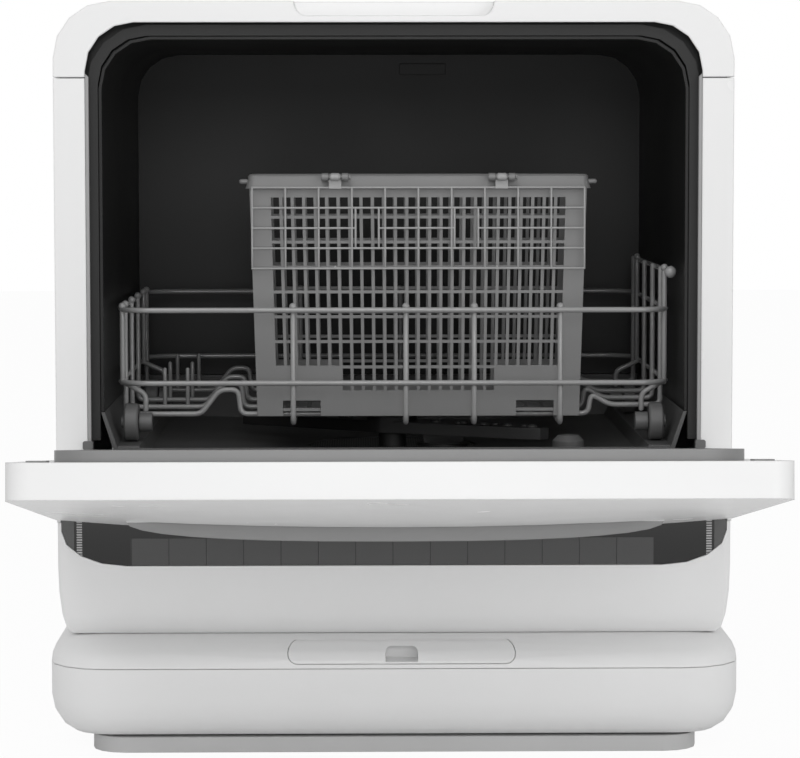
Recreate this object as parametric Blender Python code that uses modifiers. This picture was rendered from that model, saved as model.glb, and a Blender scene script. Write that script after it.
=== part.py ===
# Countertop dishwasher with a drop-down door, a rolling wire rack and a lidded cutlery basket.
# Metres, +Z up. The front faces -Y. The origin is the centre of the underside.
# The door is modelled closed and then turned open about its hinge; everything else is at home.

import math

import bmesh
import bpy
from mathutils import Matrix, Vector

# Cabinet
body_width = 0.420
body_front = -0.200
body_back = 0.206
body_top = 0.465
shell_wall = 0.0025
corner_radius = 0.035
seam_drop = 0.047
seam_z = body_top - seam_drop
window_top_z = 0.166
housing_top_z = 0.1424
housing_straight_z = 0.115
housing_bottom_z = 0.0715
housing_taper = 0.0085
housing_corner = 0.005
side_frame = 0.0195
top_frame = 0.013
opening_width = body_width - 2 * side_frame
opening_top_z = body_top - top_frame
opening_radius = 0.030
scoop_width = 0.124
scoop_foot_width = 0.109
scoop_depth = 0.012
scoop_height = 0.009
scoop_surround = 0.0085

# Base
base_overhang = 0.005
base_width = body_width + 2 * base_overhang
base_front = -0.228
base_back = 0.213
base_corner = 0.038
base_bottom_z = 0.010
base_rounding = 0.024
base_seam_z = 0.055
shoulder_run = 0.013
shoulder_front_run = 0.036
shoulder_shelf = 0.012
plinth_inset = 0.026
plinth_width = base_width - 2 * plinth_inset
plinth_front = -0.212
plinth_back = 0.186
plinth_corner = 0.022
pad_radius = 0.012
pad_depth = 0.003
pad_inset = 0.030

# Fill cover in the shoulder
cover_width = 0.141
cover_offset = 0.004
cover_bottom_z = 0.0575
cover_top_z = 0.0700
notch_width = 0.020
notch_height = 0.0095
notch_wall = 0.0015
tray_width = 0.124
tray_front = -0.2015
tray_back = -0.158
tray_spout_y = -0.168
tray_top_z = 0.0660
tray_spout_radius = 0.008

# Window, light guide and control board
window_thickness = 0.0026
window_side_gap = 0.003
window_sweep_z = 0.137
window_bottom_z = 0.1155
window_foot_inset = 0.0435
window_floor_width = body_width - 2 * window_foot_inset
guide_inset = 0.046
guide_width = body_width - 2 * guide_inset
guide_height = 0.024
guide_depth = 0.006
guide_cells = 14
guide_web = 0.0015
guide_bottom_z = 0.1195
board_thickness = 0.0016

# Tub
tub_step = 0.010
tub_width = opening_width - 2 * tub_step
tub_setback = 0.0052
tub_front = body_front + tub_setback
tub_back = 0.120
tub_drop = 0.0105
tub_ceiling_z = opening_top_z - tub_drop
tub_wall = 0.002
tub_seam_z = 0.211
flange_setback = 0.015
tub_flange_y = body_front + flange_setback
track_z = 0.1895
track_inset = 0.0075
track_width = 0.014
trough_step = 0.003
track_outer = tub_width / 2 - track_inset
track_inner = track_outer - track_width
trough_side = track_inner - trough_step
trough_z = 0.182
floor_side = 0.060
floor_z = 0.1785
front_lip_z = 0.1885
gasket_width = 0.007
gasket_depth = 0.0102
gasket_foot_z = 0.1935
vent_width = 0.033
vent_height = 0.008
vent_centre_x = 0.024
vent_drop = 0.0145
vent_z = tub_ceiling_z - vent_drop
vent_thickness = 0.002
float_radius = 0.0100
float_height = 0.013
float_x = 0.110
float_y = -0.172

# Sump, filter and spray arm
sump_y = -0.066
sump_radius = 0.0620
sump_bore = 0.0515
sump_wall = 0.0025
sump_depth = 0.038
hole_radius = 0.0560
flat_filter_thickness = 0.0012
cup_offset = 0.034
cup_radius = 0.0145
cup_wall = 0.0015
cup_depth = 0.026
cup_grip = 0.007
post_radius = 0.009
post_pin_radius = 0.006
post_shoulder_z = 0.1865
arm_bottom_z = 0.1872
arm_thickness = 0.0075
arm_reach = 0.118
arm_root_width = 0.030
arm_tip_width = 0.018
arm_hub_radius = 0.017
arm_angle = math.radians(-32)
nozzle_radius = 0.003
nozzle_height = 0.0015
nozzle_shares = (-0.90, -0.62, -0.36, 0.30, 0.50, 0.72, 0.92)
arm_socket_depth = 0.006

# Machinery below and behind the tub
pump_radius = 0.030
pump_length = 0.056
heater_radius = 0.015
heater_length = 0.050
tank_inset = 0.065
tank_setback = 0.050
tank_width = base_width - 2 * tank_inset
tank_front = base_front + tank_setback
tank_back = -0.010
tank_wall = 0.002
drain_pump_radius = 0.018
drain_pump_length = 0.050
drain_pump_x = 0.090
drain_pump_y = 0.080
fan_radius = 0.042
fan_thickness = 0.030
fan_x = 0.080
fan_z = 0.330
air_break_thickness = 0.020
air_break_front = -0.150
air_break_back = 0.030
air_break_bottom_z = 0.230
air_break_top_z = 0.400

# Rear cover and its ports
vent_slots = 9
vent_slot_length = 0.080
vent_slot_height = 0.003
vent_slot_pitch = 0.008
port_z = 0.105
port_radius = 0.010
port_flange = 0.015
port_reach = 0.012
port_thickness = 0.003
port_bore = 0.006
inlet_x = -0.120
drain_x = -0.070
gland_x = 0.130

# Door, as it stands when closed
door_width = body_width
hinge_z = 0.1766
door_top_gap = 0.0044
door_length = body_top - door_top_gap - hinge_z
door_gap = 0.0025
door_tip_thickness = 0.020
door_heel_thickness = 0.037
door_bulge = 0.0085
door_wall = 0.0025
door_corner = 0.014
door_open_angle = math.radians(84.5)
hinge_inset = 0.006
lip_inset = 0.047
lip_width = door_width - 2 * lip_inset
lip_height = 0.054
lip_depth = 0.0495
lip_sink = 0.0006
lip_roundness = 2.5
liner_gap = 0.004
liner_width = opening_width - 2 * liner_gap
liner_heel = 0.001
liner_top_gap = 0.0009
liner_length = opening_top_z - liner_top_gap - hinge_z
rim_height = 0.0064
rim_width = 0.010
liner_wall = 0.002
roll_clearance = 0.0005
pocket_length = 0.185
plateau_start = 0.189
plateau_sink = 0.001
liner_edge_depth = 0.004

# Detergent dispenser
dispenser_width = 0.090
dispenser_start = 0.196
dispenser_end = 0.258
dispenser_depth = 0.013
cup_well_width = 0.050
cup_well_length = 0.046
cup_well_depth = 0.009
dispenser_lid_width = 0.056
dispenser_lid_length = 0.050
dispenser_lid_thickness = 0.002
dispenser_lid_lift = 0.0008
dispenser_lid_hinge = 0.254

# Hinge brackets and pins
bracket_thickness = 0.0026
bracket_radius = 0.006
bracket_root = 0.010
bracket_root_y = body_front + bracket_root
bracket_head_z = 0.1929
bracket_nose = 0.001
bracket_head_front = body_front + bracket_nose
bracket_head_bottom_z = 0.1875
pin_radius = 0.0025
pin_clearance = 0.00015

# Rack
rack_clearance = 0.005
rack_setback = 0.0228
rack_width = tub_width - 2 * rack_clearance
rack_front = tub_front + rack_setback
rack_back = 0.089
rail_z = 0.273
lower_rail_z = 0.227
hoop_z = 0.299
wire_radius = 0.00175
rack_corner = 0.022
long_wire_z = 0.2015
cross_wire_z = 0.2045
wire_bend = 0.006
hump_inset = 0.070
hump_x = hump_inset - rack_width / 2
hump_width = 0.012
hump_z = 0.220
step_inset = 0.0485
step_x = rack_width / 2 - step_inset
step_z = 0.217
shelf_z = 0.2100
long_wire_places = (-0.0635, 0.0076, 0.0507, 0.105)
cross_wire_setbacks = (0.039, 0.094, 0.152, 0.236)
short_post_setbacks = (0.014, 0.208)
hoop_tip_radius = 0.0038
tine_height = 0.026
tine_radius = 0.0014
tine_insets = (0.0255, 0.0405, 0.0955)

# Rack wheels and carriers
wheel_radius = 0.012
wheel_width = 0.009
wheel_x = (track_outer + track_inner) / 2
wheel_setbacks = (0.012, 0.208)
wheel_edge = 0.001
axle_radius = 0.0023
axle_clearance = 0.00015
carrier_radius = 0.006
carrier_width = 0.008
carrier_head_radius = 0.004
carrier_head_width = 0.0014
running_gap = 0.0005
bend_knee_z = 0.2195

# Cutlery basket
basket_x = 0.016
basket_setback = 0.032
basket_front = rack_front + basket_setback
basket_depth = 0.058
basket_top_width = 0.2156
basket_draft = 0.0048
basket_foot_width = basket_top_width - 2 * basket_draft
basket_top_z = 0.358
basket_foot_z = 0.2036
basket_floor_z = 0.2066
basket_wall = 0.002
rim_band = 0.009
rim_lip = 0.0025
frame_band = 0.0128
grid_top_z = 0.3443
grid_bottom_z = 0.235
grid_drop_z = 0.220
grid_drop_width = 0.096
slat = 0.0030
bar = 0.0030
grid_columns = 12
grid_rows = 3
side_columns = 3
floor_columns = 8
floor_rows = 2
foot_notch_width = 0.024
foot_notch_z = 0.2135
foot_notch_offset = 0.0745
peg_radius = 0.0016
peg_length = 0.004
peg_z = 0.3460

# Basket lid
lid_side_gap = 0.0013
lid_width = basket_top_width - 2 * lid_side_gap
lid_top_z = 0.3505
lid_height = 0.0530
lid_thickness = 0.0016
lid_columns = 10
lid_rows = 4
lid_bar = 0.0022
lid_reach = 0.007
lid_axis_y = basket_front - lid_reach
lid_axis_z = 0.3565
lid_offset = 0.0019
knuckle_radius = 0.0024
knuckle_width = 0.008
lug_width = 0.004
knuckle_gap = 0.0004
lid_pin_radius = 0.0012
lid_pin_head = 0.0020
lid_pin_head_width = 0.0010
lid_hinge_places = (-0.053, 0.053)

# Fits shared by all pieces
touch = 0.0003
overrun = 0.001
fillet = 0.002
weld_distance = 0.000001
flat_angle = math.radians(0.05)
flip_rounds = 4

# Facets
round_steps = 16
small_steps = 12
corner_steps = 4
bend_steps = 2
wire_resolution = 1


# Colours in the order: hex, roughness, metallic
finishes = {
    "white_shell": ("F0F0F0", 0.35, 0.0),
    "base_white": ("E2E2E2", 0.38, 0.0),
    "plinth_grey": ("A8A8A8", 0.55, 0.0),
    "rubber_grey": ("3A3A3A", 0.85, 0.0),
    "smoked": ("3A3A3A", 0.12, 0.0),
    "light_guide": ("6A6A6A", 0.40, 0.0),
    "board_green": ("2F4A3A", 0.50, 0.0),
    "tub_dark": ("2C2C2C", 0.40, 0.0),
    "basin_grey": ("565656", 0.45, 0.0),
    "gasket_dark": ("202020", 0.80, 0.0),
    "sump_black": ("1E1E1E", 0.50, 0.0),
    "filter_steel": ("8A8A8A", 0.35, 1.0),
    "arm_dark": ("2E2E2E", 0.45, 0.0),
    "machinery": ("4A4A4A", 0.45, 0.0),
    "tank_clear": ("B8C0C4", 0.30, 0.0),
    "liner_grey": ("8C8C8C", 0.40, 0.0),
    "hinge_steel": ("7A7A7A", 0.35, 1.0),
    "wire_coat": ("8A8A8A", 0.35, 0.0),
    "wheel_grey": ("6A6A6A", 0.50, 0.0),
    "basket_grey": ("828282", 0.50, 0.0),
}


def collection(name):
    group = bpy.data.collections.new(name)
    bpy.context.scene.collection.children.link(group)
    return group


for old in list(bpy.data.objects):
    bpy.data.objects.remove(old, do_unlink=True)
parts = collection("countertop_dishwasher")
cutters = collection("cutters")


# Helpers that place meshes

def add_mesh(name, mesh, group):
    thing = bpy.data.objects.new(name, mesh)
    group.objects.link(thing)
    if group is not parts:
        thing.hide_render = True
        thing.display_type = "WIRE"
    return thing


def closed_mesh(name, bm):
    bmesh.ops.remove_doubles(bm, verts=bm.verts, dist=weld_distance)
    bmesh.ops.recalc_face_normals(bm, faces=bm.faces)
    mesh = bpy.data.meshes.new(name)
    bm.to_mesh(mesh)
    bm.free()
    return mesh


def box(name, low, high, group):
    bm = bmesh.new()
    bmesh.ops.create_cube(bm, size=1.0)
    low = Vector(low)
    high = Vector(high)
    bmesh.ops.scale(bm, vec=high - low, verts=bm.verts)
    bmesh.ops.translate(bm, vec=(low + high) / 2, verts=bm.verts)
    return add_mesh(name, closed_mesh(name, bm), group)


turn_of = {
    "X": Matrix.Rotation(math.pi / 2, 4, "Y"),
    "Y": Matrix.Rotation(-math.pi / 2, 4, "X"),
    "Z": Matrix.Identity(4),
}


def rod(name, radius, axis, start, end, centre, group, steps=round_steps):
    """A cylinder along one axis from start to end, through centre's other two coordinates."""
    bm = bmesh.new()
    bmesh.ops.create_cone(bm, cap_ends=True, segments=steps, radius1=radius, radius2=radius, depth=end - start)
    middle = Vector(centre)
    middle["XYZ".index(axis)] = (start + end) / 2
    bm.transform(Matrix.Translation(middle) @ turn_of[axis])
    return add_mesh(name, closed_mesh(name, bm), group)


unit_x, unit_y, unit_z = Matrix.Identity(3)
plane_of = {
    "XY": (Matrix.Identity(4), "Z"),
    "XZ": (Matrix((unit_x, -unit_z, unit_y)).to_4x4(), "Y"),
    "YZ": (Matrix((unit_z, unit_x, unit_y)).to_4x4(), "X"),
}


def turn_flat_triangles(bm):
    """The fill of an outline leaves triangles with three corners in a line: their long edges are turned."""
    for attempt in range(flip_rounds):
        for face in list(bm.faces):
            if not face.is_valid:
                continue
            longest = max(face.edges, key=lambda edge: edge.calc_length())
            if face.calc_area() < longest.calc_length() * weld_distance:
                bmesh.ops.rotate_edges(bm, edges=[longest])


def mesh_from_curve(name, curve, matrix):
    """The curve's evaluated mesh with welded caps and no needless facets; the curve itself is removed."""
    guide = bpy.data.objects.new(name + "_curve", curve)
    guide.matrix_world = matrix
    cutters.objects.link(guide)
    bpy.context.view_layer.update()
    evaluated = guide.evaluated_get(bpy.context.evaluated_depsgraph_get())
    loose = bpy.data.meshes.new_from_object(evaluated)
    bm = bmesh.new()
    bm.from_mesh(loose)
    bm.transform(matrix)
    bpy.data.objects.remove(guide, do_unlink=True)
    bpy.data.meshes.remove(loose)
    bmesh.ops.remove_doubles(bm, verts=bm.verts, dist=weld_distance)
    turn_flat_triangles(bm)
    bmesh.ops.dissolve_limit(bm, angle_limit=flat_angle, verts=bm.verts, edges=bm.edges)
    return closed_mesh(name, bm)


def prism(name, loops, plane, start, end, group):
    """A flat outline, with holes after its first loop, extruded from start to end across its plane."""
    curve = bpy.data.curves.new(name, "CURVE")
    curve.dimensions = "2D"
    curve.fill_mode = "BOTH"
    curve.extrude = (end - start) / 2
    for loop in loops:
        spline = curve.splines.new("POLY")
        spline.points.add(len(loop) - 1)
        for point, (across, up) in zip(spline.points, loop):
            point.co = (across, up, 0, 1)
        spline.use_cyclic_u = True
    turn, axis = plane_of[plane]
    shift = Vector((0, 0, 0))
    shift["XYZ".index(axis)] = (start + end) / 2
    mesh = mesh_from_curve(name, curve, Matrix.Translation(shift) @ turn)
    return add_mesh(name, mesh, group)


def wire(name, path, radius, group, cyclic=False):
    curve = bpy.data.curves.new(name, "CURVE")
    curve.dimensions = "3D"
    curve.bevel_depth = radius
    curve.bevel_resolution = wire_resolution
    curve.use_fill_caps = not cyclic
    spline = curve.splines.new("POLY")
    spline.points.add(len(path) - 1)
    for point, place in zip(spline.points, path):
        point.co = (*place, 1)
    spline.use_cyclic_u = cyclic
    return add_mesh(name, mesh_from_curve(name, curve, Matrix.Identity(4)), group)


def turned(name, profile, axis, centre, group, steps=round_steps):
    """A Screw of a profile of (radius, height) points that starts and ends on the axis or closes on itself."""
    mesh = bpy.data.meshes.new(name)
    points = [(radius, 0, height) for radius, height in profile]
    edges = [(index, index + 1) for index in range(len(points) - 1)]
    if profile[0][0] > 0:
        edges.append((len(points) - 1, 0))
    mesh.from_pydata(points, edges, [])
    thing = add_mesh(name, mesh, group)
    screw = thing.modifiers.new("turn", "SCREW")
    screw.steps = steps
    screw.render_steps = steps
    screw.use_merge_vertices = True
    screw.merge_threshold = weld_distance
    screw.use_normal_calculate = True
    thing.matrix_world = Matrix.Translation(centre) @ turn_of[axis]
    bpy.context.view_layer.update()
    evaluated = thing.evaluated_get(bpy.context.evaluated_depsgraph_get())
    bm = bmesh.new()
    bm.from_mesh(evaluated.to_mesh())
    bm.transform(thing.matrix_world)
    bpy.data.objects.remove(thing, do_unlink=True)
    return add_mesh(name, closed_mesh(name, bm), group)


def combine(target, tool, operation):
    cut = target.modifiers.new(operation.lower(), "BOOLEAN")
    cut.operation = operation
    cut.object = tool
    cut.solver = "EXACT"
    return target


def subtract(target, *tools):
    for tool in tools:
        combine(target, tool, "DIFFERENCE")
    return target


def unite(target, *tools):
    for tool in tools:
        combine(target, tool, "UNION")
    return target


# Helpers that make outlines

def arc(centre, radius, start, end, steps=corner_steps):
    """Points on an arc between two angles in degrees."""
    points = []
    for index in range(steps + 1):
        angle = math.radians(start + (end - start) * index / steps)
        points.append((centre[0] + radius * math.cos(angle), centre[1] + radius * math.sin(angle)))
    return points


def rectangle(left, right, bottom, top):
    return [(left, bottom), (right, bottom), (right, top), (left, top)]


def rounded_rectangle(left, right, bottom, top, radius, steps=corner_steps):
    points = arc((right - radius, bottom + radius), radius, -90, 0, steps)
    points += arc((right - radius, top - radius), radius, 0, 90, steps)
    points += arc((left + radius, top - radius), radius, 90, 180, steps)
    points += arc((left + radius, bottom + radius), radius, 180, 270, steps)
    return points


def arch(half, bottom, top, radius):
    """An upright outline with a flat foot and two rounded top corners."""
    points = [(-half, bottom), (half, bottom)]
    points += arc((half - radius, top - radius), radius, 0, 90)
    points += arc((radius - half, top - radius), radius, 90, 180)
    return points


def stadium(centre_x, half, bottom, top):
    radius = (top - bottom) / 2
    middle = (top + bottom) / 2
    points = arc((centre_x + half - radius, middle), radius, -90, 90, 2 * corner_steps)
    points += arc((centre_x - half + radius, middle), radius, 90, 270, 2 * corner_steps)
    return points


def grid(left, right, bottom, top, columns, rows, column_web, row_web):
    """The openings of a lattice that fills a rectangle, as loops."""
    width = (right - left - (columns - 1) * column_web) / columns
    height = (top - bottom - (rows - 1) * row_web) / rows
    loops = []
    for row in range(rows):
        low = bottom + row * (height + row_web)
        for column in range(columns):
            start = left + column * (width + column_web)
            loops.append(rectangle(start, start + width, low, low + height))
    return loops


def mirrored(points):
    return [(-across, up) for across, up in reversed(points)]


def rounded_path(corners, radius, steps=bend_steps):
    """A 3D polyline whose inner corners are replaced by bends of the given radius."""
    corners = [Vector(corner) for corner in corners]
    path = [corners[0]]
    for before, corner, after in zip(corners, corners[1:], corners[2:]):
        inward = (before - corner).normalized()
        outward = (after - corner).normalized()
        angle = inward.angle(outward)
        run = min(radius / math.tan(angle / 2), (before - corner).length / 2, (after - corner).length / 2)
        first = corner + inward * run
        last = corner + outward * run
        for index in range(steps + 1):
            share = index / steps
            path.append(first.lerp(corner, share).lerp(corner.lerp(last, share), share))
    path.append(corners[-1])
    return path


def swept_ring(name, profile, half, front, back, radius, group, closed):
    """A wall carried round a rounded rectangle: a profile point is an inset, a height and a setback in front."""
    bm = bmesh.new()
    rings = []
    for inset, height, setback in profile:
        corner = max(radius - inset, housing_corner / corner_steps)
        outline = rounded_rectangle(inset - half, half - inset, front + setback, back - inset, corner)
        rings.append([bm.verts.new((across, along, height)) for across, along in outline])
    pairs = list(zip(rings, rings[1:]))
    if closed:
        pairs.append((rings[-1], rings[0]))
    for lower, upper in pairs:
        count = len(lower)
        for index in range(count):
            following = (index + 1) % count
            bm.faces.new((lower[index], lower[following], upper[following], upper[index]))
    if not closed:
        bm.faces.new(list(reversed(rings[0])))
        bm.faces.new(rings[-1])
    return add_mesh(name, closed_mesh(name, bm), group)


# Base, plinth and pads

def build_plinth():
    half = plinth_width / 2
    outline = rounded_rectangle(-half, half, plinth_front, plinth_back, plinth_corner)
    plinth = prism("plinth", [outline], "XY", 0, base_bottom_z - touch, parts)
    for side, across in (("left", -1), ("right", 1)):
        for end, along in (("front", plinth_front + pad_inset), ("rear", plinth_back - pad_inset)):
            place = (across * (half - pad_inset), along, 0)
            rod(f"foot_pad_{end}_{side}", pad_radius, "Z", 0, pad_depth, place, parts, small_steps)
            socket_radius = pad_radius + 2 * touch
            socket_top = pad_depth + touch
            socket = rod("pad_socket", socket_radius, "Z", -overrun, socket_top, place, cutters, small_steps)
            subtract(plinth, socket)


def build_base_pan():
    wall = shell_wall
    rim = base_seam_z - touch
    bend = (base_rounding, base_bottom_z + base_rounding)
    outside = arc(bend, base_rounding, 270, 180)
    inside = arc(bend, base_rounding - wall, 180, 270)
    section = outside + [(0, rim), (wall, rim)] + inside
    profile = [(inset, height, inset) for inset, height in section]
    swept_ring("base_pan", profile, base_width / 2, base_front, base_back, base_corner, parts, False)


def shoulder_skin(name, group):
    """The quarter-ellipse shoulder, longer in front, with a flat shelf that carries the housing."""
    rise = housing_bottom_z - base_seam_z
    wall = shell_wall
    outside = []
    inside = []
    for index in range(corner_steps + 2):
        angle = math.pi / 2 * index / (corner_steps + 1)
        share = 1 - math.cos(angle)
        side = shoulder_run * share
        front = shoulder_front_run * share
        outside.append((side, base_seam_z + rise * math.sin(angle), front))
        inner_rise = (rise - wall) * math.sin(angle)
        inside.append((wall + side, base_seam_z + inner_rise, wall + front))
    side = shoulder_run + shoulder_shelf
    front = shoulder_front_run + shoulder_shelf
    shelf = [(side, housing_bottom_z, front), (side, housing_bottom_z - wall, front)]
    profile = outside + shelf + inside[::-1]
    return swept_ring(name, profile, base_width / 2, base_front, base_back, base_corner, group, True)


def cover_back():
    """Where the shoulder's outer curve reaches the height of the fill cover's upper edge."""
    share = (cover_top_z - base_seam_z) / (housing_bottom_z - base_seam_z)
    return base_front + shoulder_front_run * (1 - math.sqrt(1 - share ** 2))


def build_shoulder():
    shoulder = shoulder_skin("base_shoulder", parts)
    opening = stadium(cover_offset, cover_width / 2, cover_bottom_z, cover_top_z)
    cutter = prism("cover_opening", [opening], "XZ", base_front - overrun, cover_back(), cutters)
    subtract(shoulder, cutter)


def shoulder_line(depth, low, high):
    """Side view of a curve that runs a given depth under the shoulder's face, between two heights."""
    rise = housing_bottom_z - base_seam_z - depth
    points = []
    for index in range(corner_steps + 1):
        height = low + (high - low) * index / corner_steps
        share = (height - base_seam_z) / rise
        points.append((base_front + depth + shoulder_front_run * (1 - math.sqrt(1 - share ** 2)), height))
    return points


def build_fill_cover():
    """A stadium cut from the shoulder's skin, with a walled finger notch at its lower edge."""
    cover = shoulder_skin("fill_cover", parts)
    half = cover_width / 2 - touch
    back = cover_back() - touch
    outline = stadium(cover_offset, half, cover_bottom_z + touch, cover_top_z - touch)
    form = prism("cover_form", [outline], "XZ", base_front - overrun, back, cutters)
    combine(cover, form, "INTERSECT")
    wall = notch_wall
    low = cover_bottom_z + 2 * touch
    high = cover_bottom_z + notch_height + wall
    section = shoulder_line(wall * 2 / 3, low, high) + [(back, high), (back, low)]
    reach = notch_width / 2 + wall
    unite(cover, prism("notch_walls", [section], "YZ", cover_offset - reach, cover_offset + reach, cutters))
    bite = arch(notch_width / 2, cover_bottom_z + wall, cover_bottom_z + notch_height, notch_width / 6)
    bite = [(across + cover_offset, up) for across, up in bite]
    subtract(cover, prism("finger_notch", [bite], "XZ", base_front - overrun, back - wall, cutters))
    return cover


def build_fill_tray():
    half = tray_width / 2
    floor = base_seam_z + touch
    wall = tank_wall
    low = (cover_offset - half, tray_front, floor)
    high = (cover_offset + half, tray_back, tray_top_z)
    tray = box("fill_tray", low, high, parts)
    inner_low = (low[0] + wall, tray_front - overrun, floor + wall)
    inner_high = (high[0] - wall, tray_back - wall, tray_top_z - wall)
    subtract(tray, box("tray_hollow", inner_low, inner_high, cutters))
    middle = (cover_offset, tray_spout_y, 0)
    spout = rod("spout", tray_spout_radius, "Z", floor - overrun, floor + 2 * wall, middle, cutters, small_steps)
    subtract(tray, spout)


# Lower housing, window, light guide and board

def window_outline(grow):
    """The smoked window: straight top, sides that sweep down and in to the narrower foot."""
    half = body_width / 2 - window_side_gap + grow
    foot = window_floor_width / 2 + grow
    low = window_bottom_z - grow
    bend = window_sweep_z - low
    run = half - foot
    side = []
    for index in range(corner_steps + 1):
        angle = math.pi / 2 * index / corner_steps
        side.append((foot + run * math.sin(angle), low + bend * (1 - math.cos(angle))))
    right = side + [(half, window_top_z - touch + grow)]
    return right + mirrored(right)


def build_housing():
    wall = shell_wall
    outside = [(0, housing_top_z)]
    inside = [(wall, housing_top_z)]
    drop = housing_straight_z - housing_bottom_z - touch
    for index in range(corner_steps + 1):
        angle = math.pi / 2 * index / corner_steps
        inset = housing_taper * (1 - math.cos(angle))
        height = housing_straight_z - drop * math.sin(angle)
        outside.append((inset, height))
        inside.append((inset + wall, height))
    profile = [(inset, height, inset) for inset, height in outside + inside[::-1]]
    half = body_width / 2
    housing = swept_ring("lower_housing", profile, half, body_front, body_back, housing_corner, parts, True)
    cutter = prism("window_seat", [window_outline(touch)], "XZ", body_front - overrun, body_front + 2 * wall, cutters)
    subtract(housing, cutter)
    for place in (inlet_x, drain_x, gland_x):
        centre = (place, 0, port_z)
        clear = port_radius + touch
        hole = rod("port_hole", clear, "Y", body_back - 3 * wall, body_back + overrun, centre, cutters)
        subtract(housing, hole)


def build_window():
    back = body_front + touch + window_thickness
    prism("smoked_window", [window_outline(0)], "XZ", body_front + touch, back, parts)
    half = guide_width / 2
    top = guide_bottom_z + guide_height
    front = back + touch
    rear = front + guide_depth
    cells = grid(guide_web - half, half - guide_web, guide_bottom_z + guide_web, top - guide_web,
                 guide_cells, 1, guide_web, guide_web)
    outline = rectangle(-half, half, guide_bottom_z, top)
    prism("light_guide", [outline] + cells, "XZ", front, rear, parts)
    board_front = rear + touch
    low = (-half, board_front, guide_bottom_z)
    box("control_board", low, (half, board_front + board_thickness, top), parts)


# Cabinet shell

def build_top_cover():
    half = body_width / 2
    wall = shell_wall
    bottom = seam_z + touch
    cover = prism("top_cover", [arch(half, bottom, body_top, corner_radius)], "XZ", body_front, body_back, parts)
    hollow = arch(half - wall, bottom - overrun, body_top - wall, corner_radius - wall)
    inner = prism("cover_hollow", [hollow], "XZ", body_front + wall, body_back + overrun, cutters)
    mouth = arch(opening_width / 2, bottom - overrun, opening_top_z, opening_radius)
    opening = prism("cover_mouth", [mouth], "XZ", body_front - overrun, body_front + 2 * wall, cutters)
    subtract(cover, inner, opening)
    low = (-scoop_width / 2 - scoop_surround, body_front + wall / 2, opening_top_z + touch)
    high = (scoop_width / 2 + scoop_surround, body_front + scoop_depth + wall, body_top - wall / 2)
    unite(cover, box("scoop_surround", low, high, cutters))
    foot = body_top - scoop_height
    foot_half = scoop_foot_width / 2
    run = scoop_width / 2 - foot_half
    rise = scoop_height + overrun
    bowl = []
    for index in range(corner_steps + 1):
        angle = math.pi / 2 * index / corner_steps
        bowl.append((foot_half + run * math.sin(angle), foot + rise * (1 - math.cos(angle))))
    outline = bowl + mirrored(bowl)
    scoop = prism("finger_scoop", [outline], "XZ", body_front - overrun, body_front + scoop_depth, cutters)
    subtract(cover, scoop)


def build_side_panel(name, side):
    half = body_width / 2
    wall = shell_wall
    edge = opening_width / 2
    low_z = housing_top_z + touch
    high_z = seam_z - touch

    def span(first, second):
        return sorted((side * first, side * second))

    left, right = span(half, edge)
    panel = box(name, (left, body_front, low_z), (right, body_back, high_z), parts)
    left, right = span(half - wall, edge - overrun)
    low = (left, body_front + wall, low_z - overrun)
    inner = box("panel_hollow", low, (right, body_back + overrun, high_z + overrun), cutters)
    low = (left, body_front - overrun, low_z - overrun)
    below = box("panel_foot", low, (right, body_front + 2 * wall, window_top_z + touch), cutters)
    subtract(panel, inner, below)


def build_rear_cover():
    half = body_width / 2 - shell_wall - touch
    top = body_top - shell_wall - touch
    outline = arch(half, housing_top_z + touch, top, corner_radius - shell_wall - touch)
    run = (vent_slots - 1) * vent_slot_pitch
    slots = []
    for index in range(vent_slots):
        middle = fan_z - run / 2 + index * vent_slot_pitch
        low = middle - vent_slot_height / 2
        left = fan_x - vent_slot_length / 2
        slots.append(rectangle(left, left + vent_slot_length, low, low + vent_slot_height))
    prism("rear_cover", [outline] + slots, "XZ", body_back - shell_wall, body_back, parts)


# Tub, basin, gasket and the small pieces on them

def build_tub():
    half = tub_width / 2
    wall = tub_wall
    bottom = tub_seam_z + touch
    outer = arch(half + wall, bottom, tub_ceiling_z + wall, opening_radius + wall)
    tub = prism("tub", [outer], "XZ", tub_front, tub_back + wall, parts)
    inner = arch(half, bottom - overrun, tub_ceiling_z, opening_radius)
    hollow = prism("tub_hollow", [inner], "XZ", tub_front - overrun, tub_back, cutters)
    inset = shell_wall + touch
    collar = arch(body_width / 2 - inset, bottom, body_top - inset, corner_radius - inset)
    flange = prism("tub_flange", [collar], "XZ", tub_flange_y, tub_flange_y + wall, cutters)
    unite(tub, flange)
    subtract(tub, hollow)


def build_gasket():
    inner_half = tub_width / 2 + tub_wall + touch
    inner_top = tub_ceiling_z + tub_wall + touch
    outer = arch(inner_half + gasket_width, gasket_foot_z, inner_top + gasket_width, opening_radius + gasket_width)
    inner = arch(inner_half, gasket_foot_z - overrun, inner_top, opening_radius)
    back = tub_flange_y - touch
    front = back - gasket_depth
    gasket = prism("door_gasket", [outer], "XZ", front, back, parts)
    hollow = prism("gasket_hollow", [inner], "XZ", front - overrun, back + overrun, cutters)
    subtract(gasket, hollow)


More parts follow.
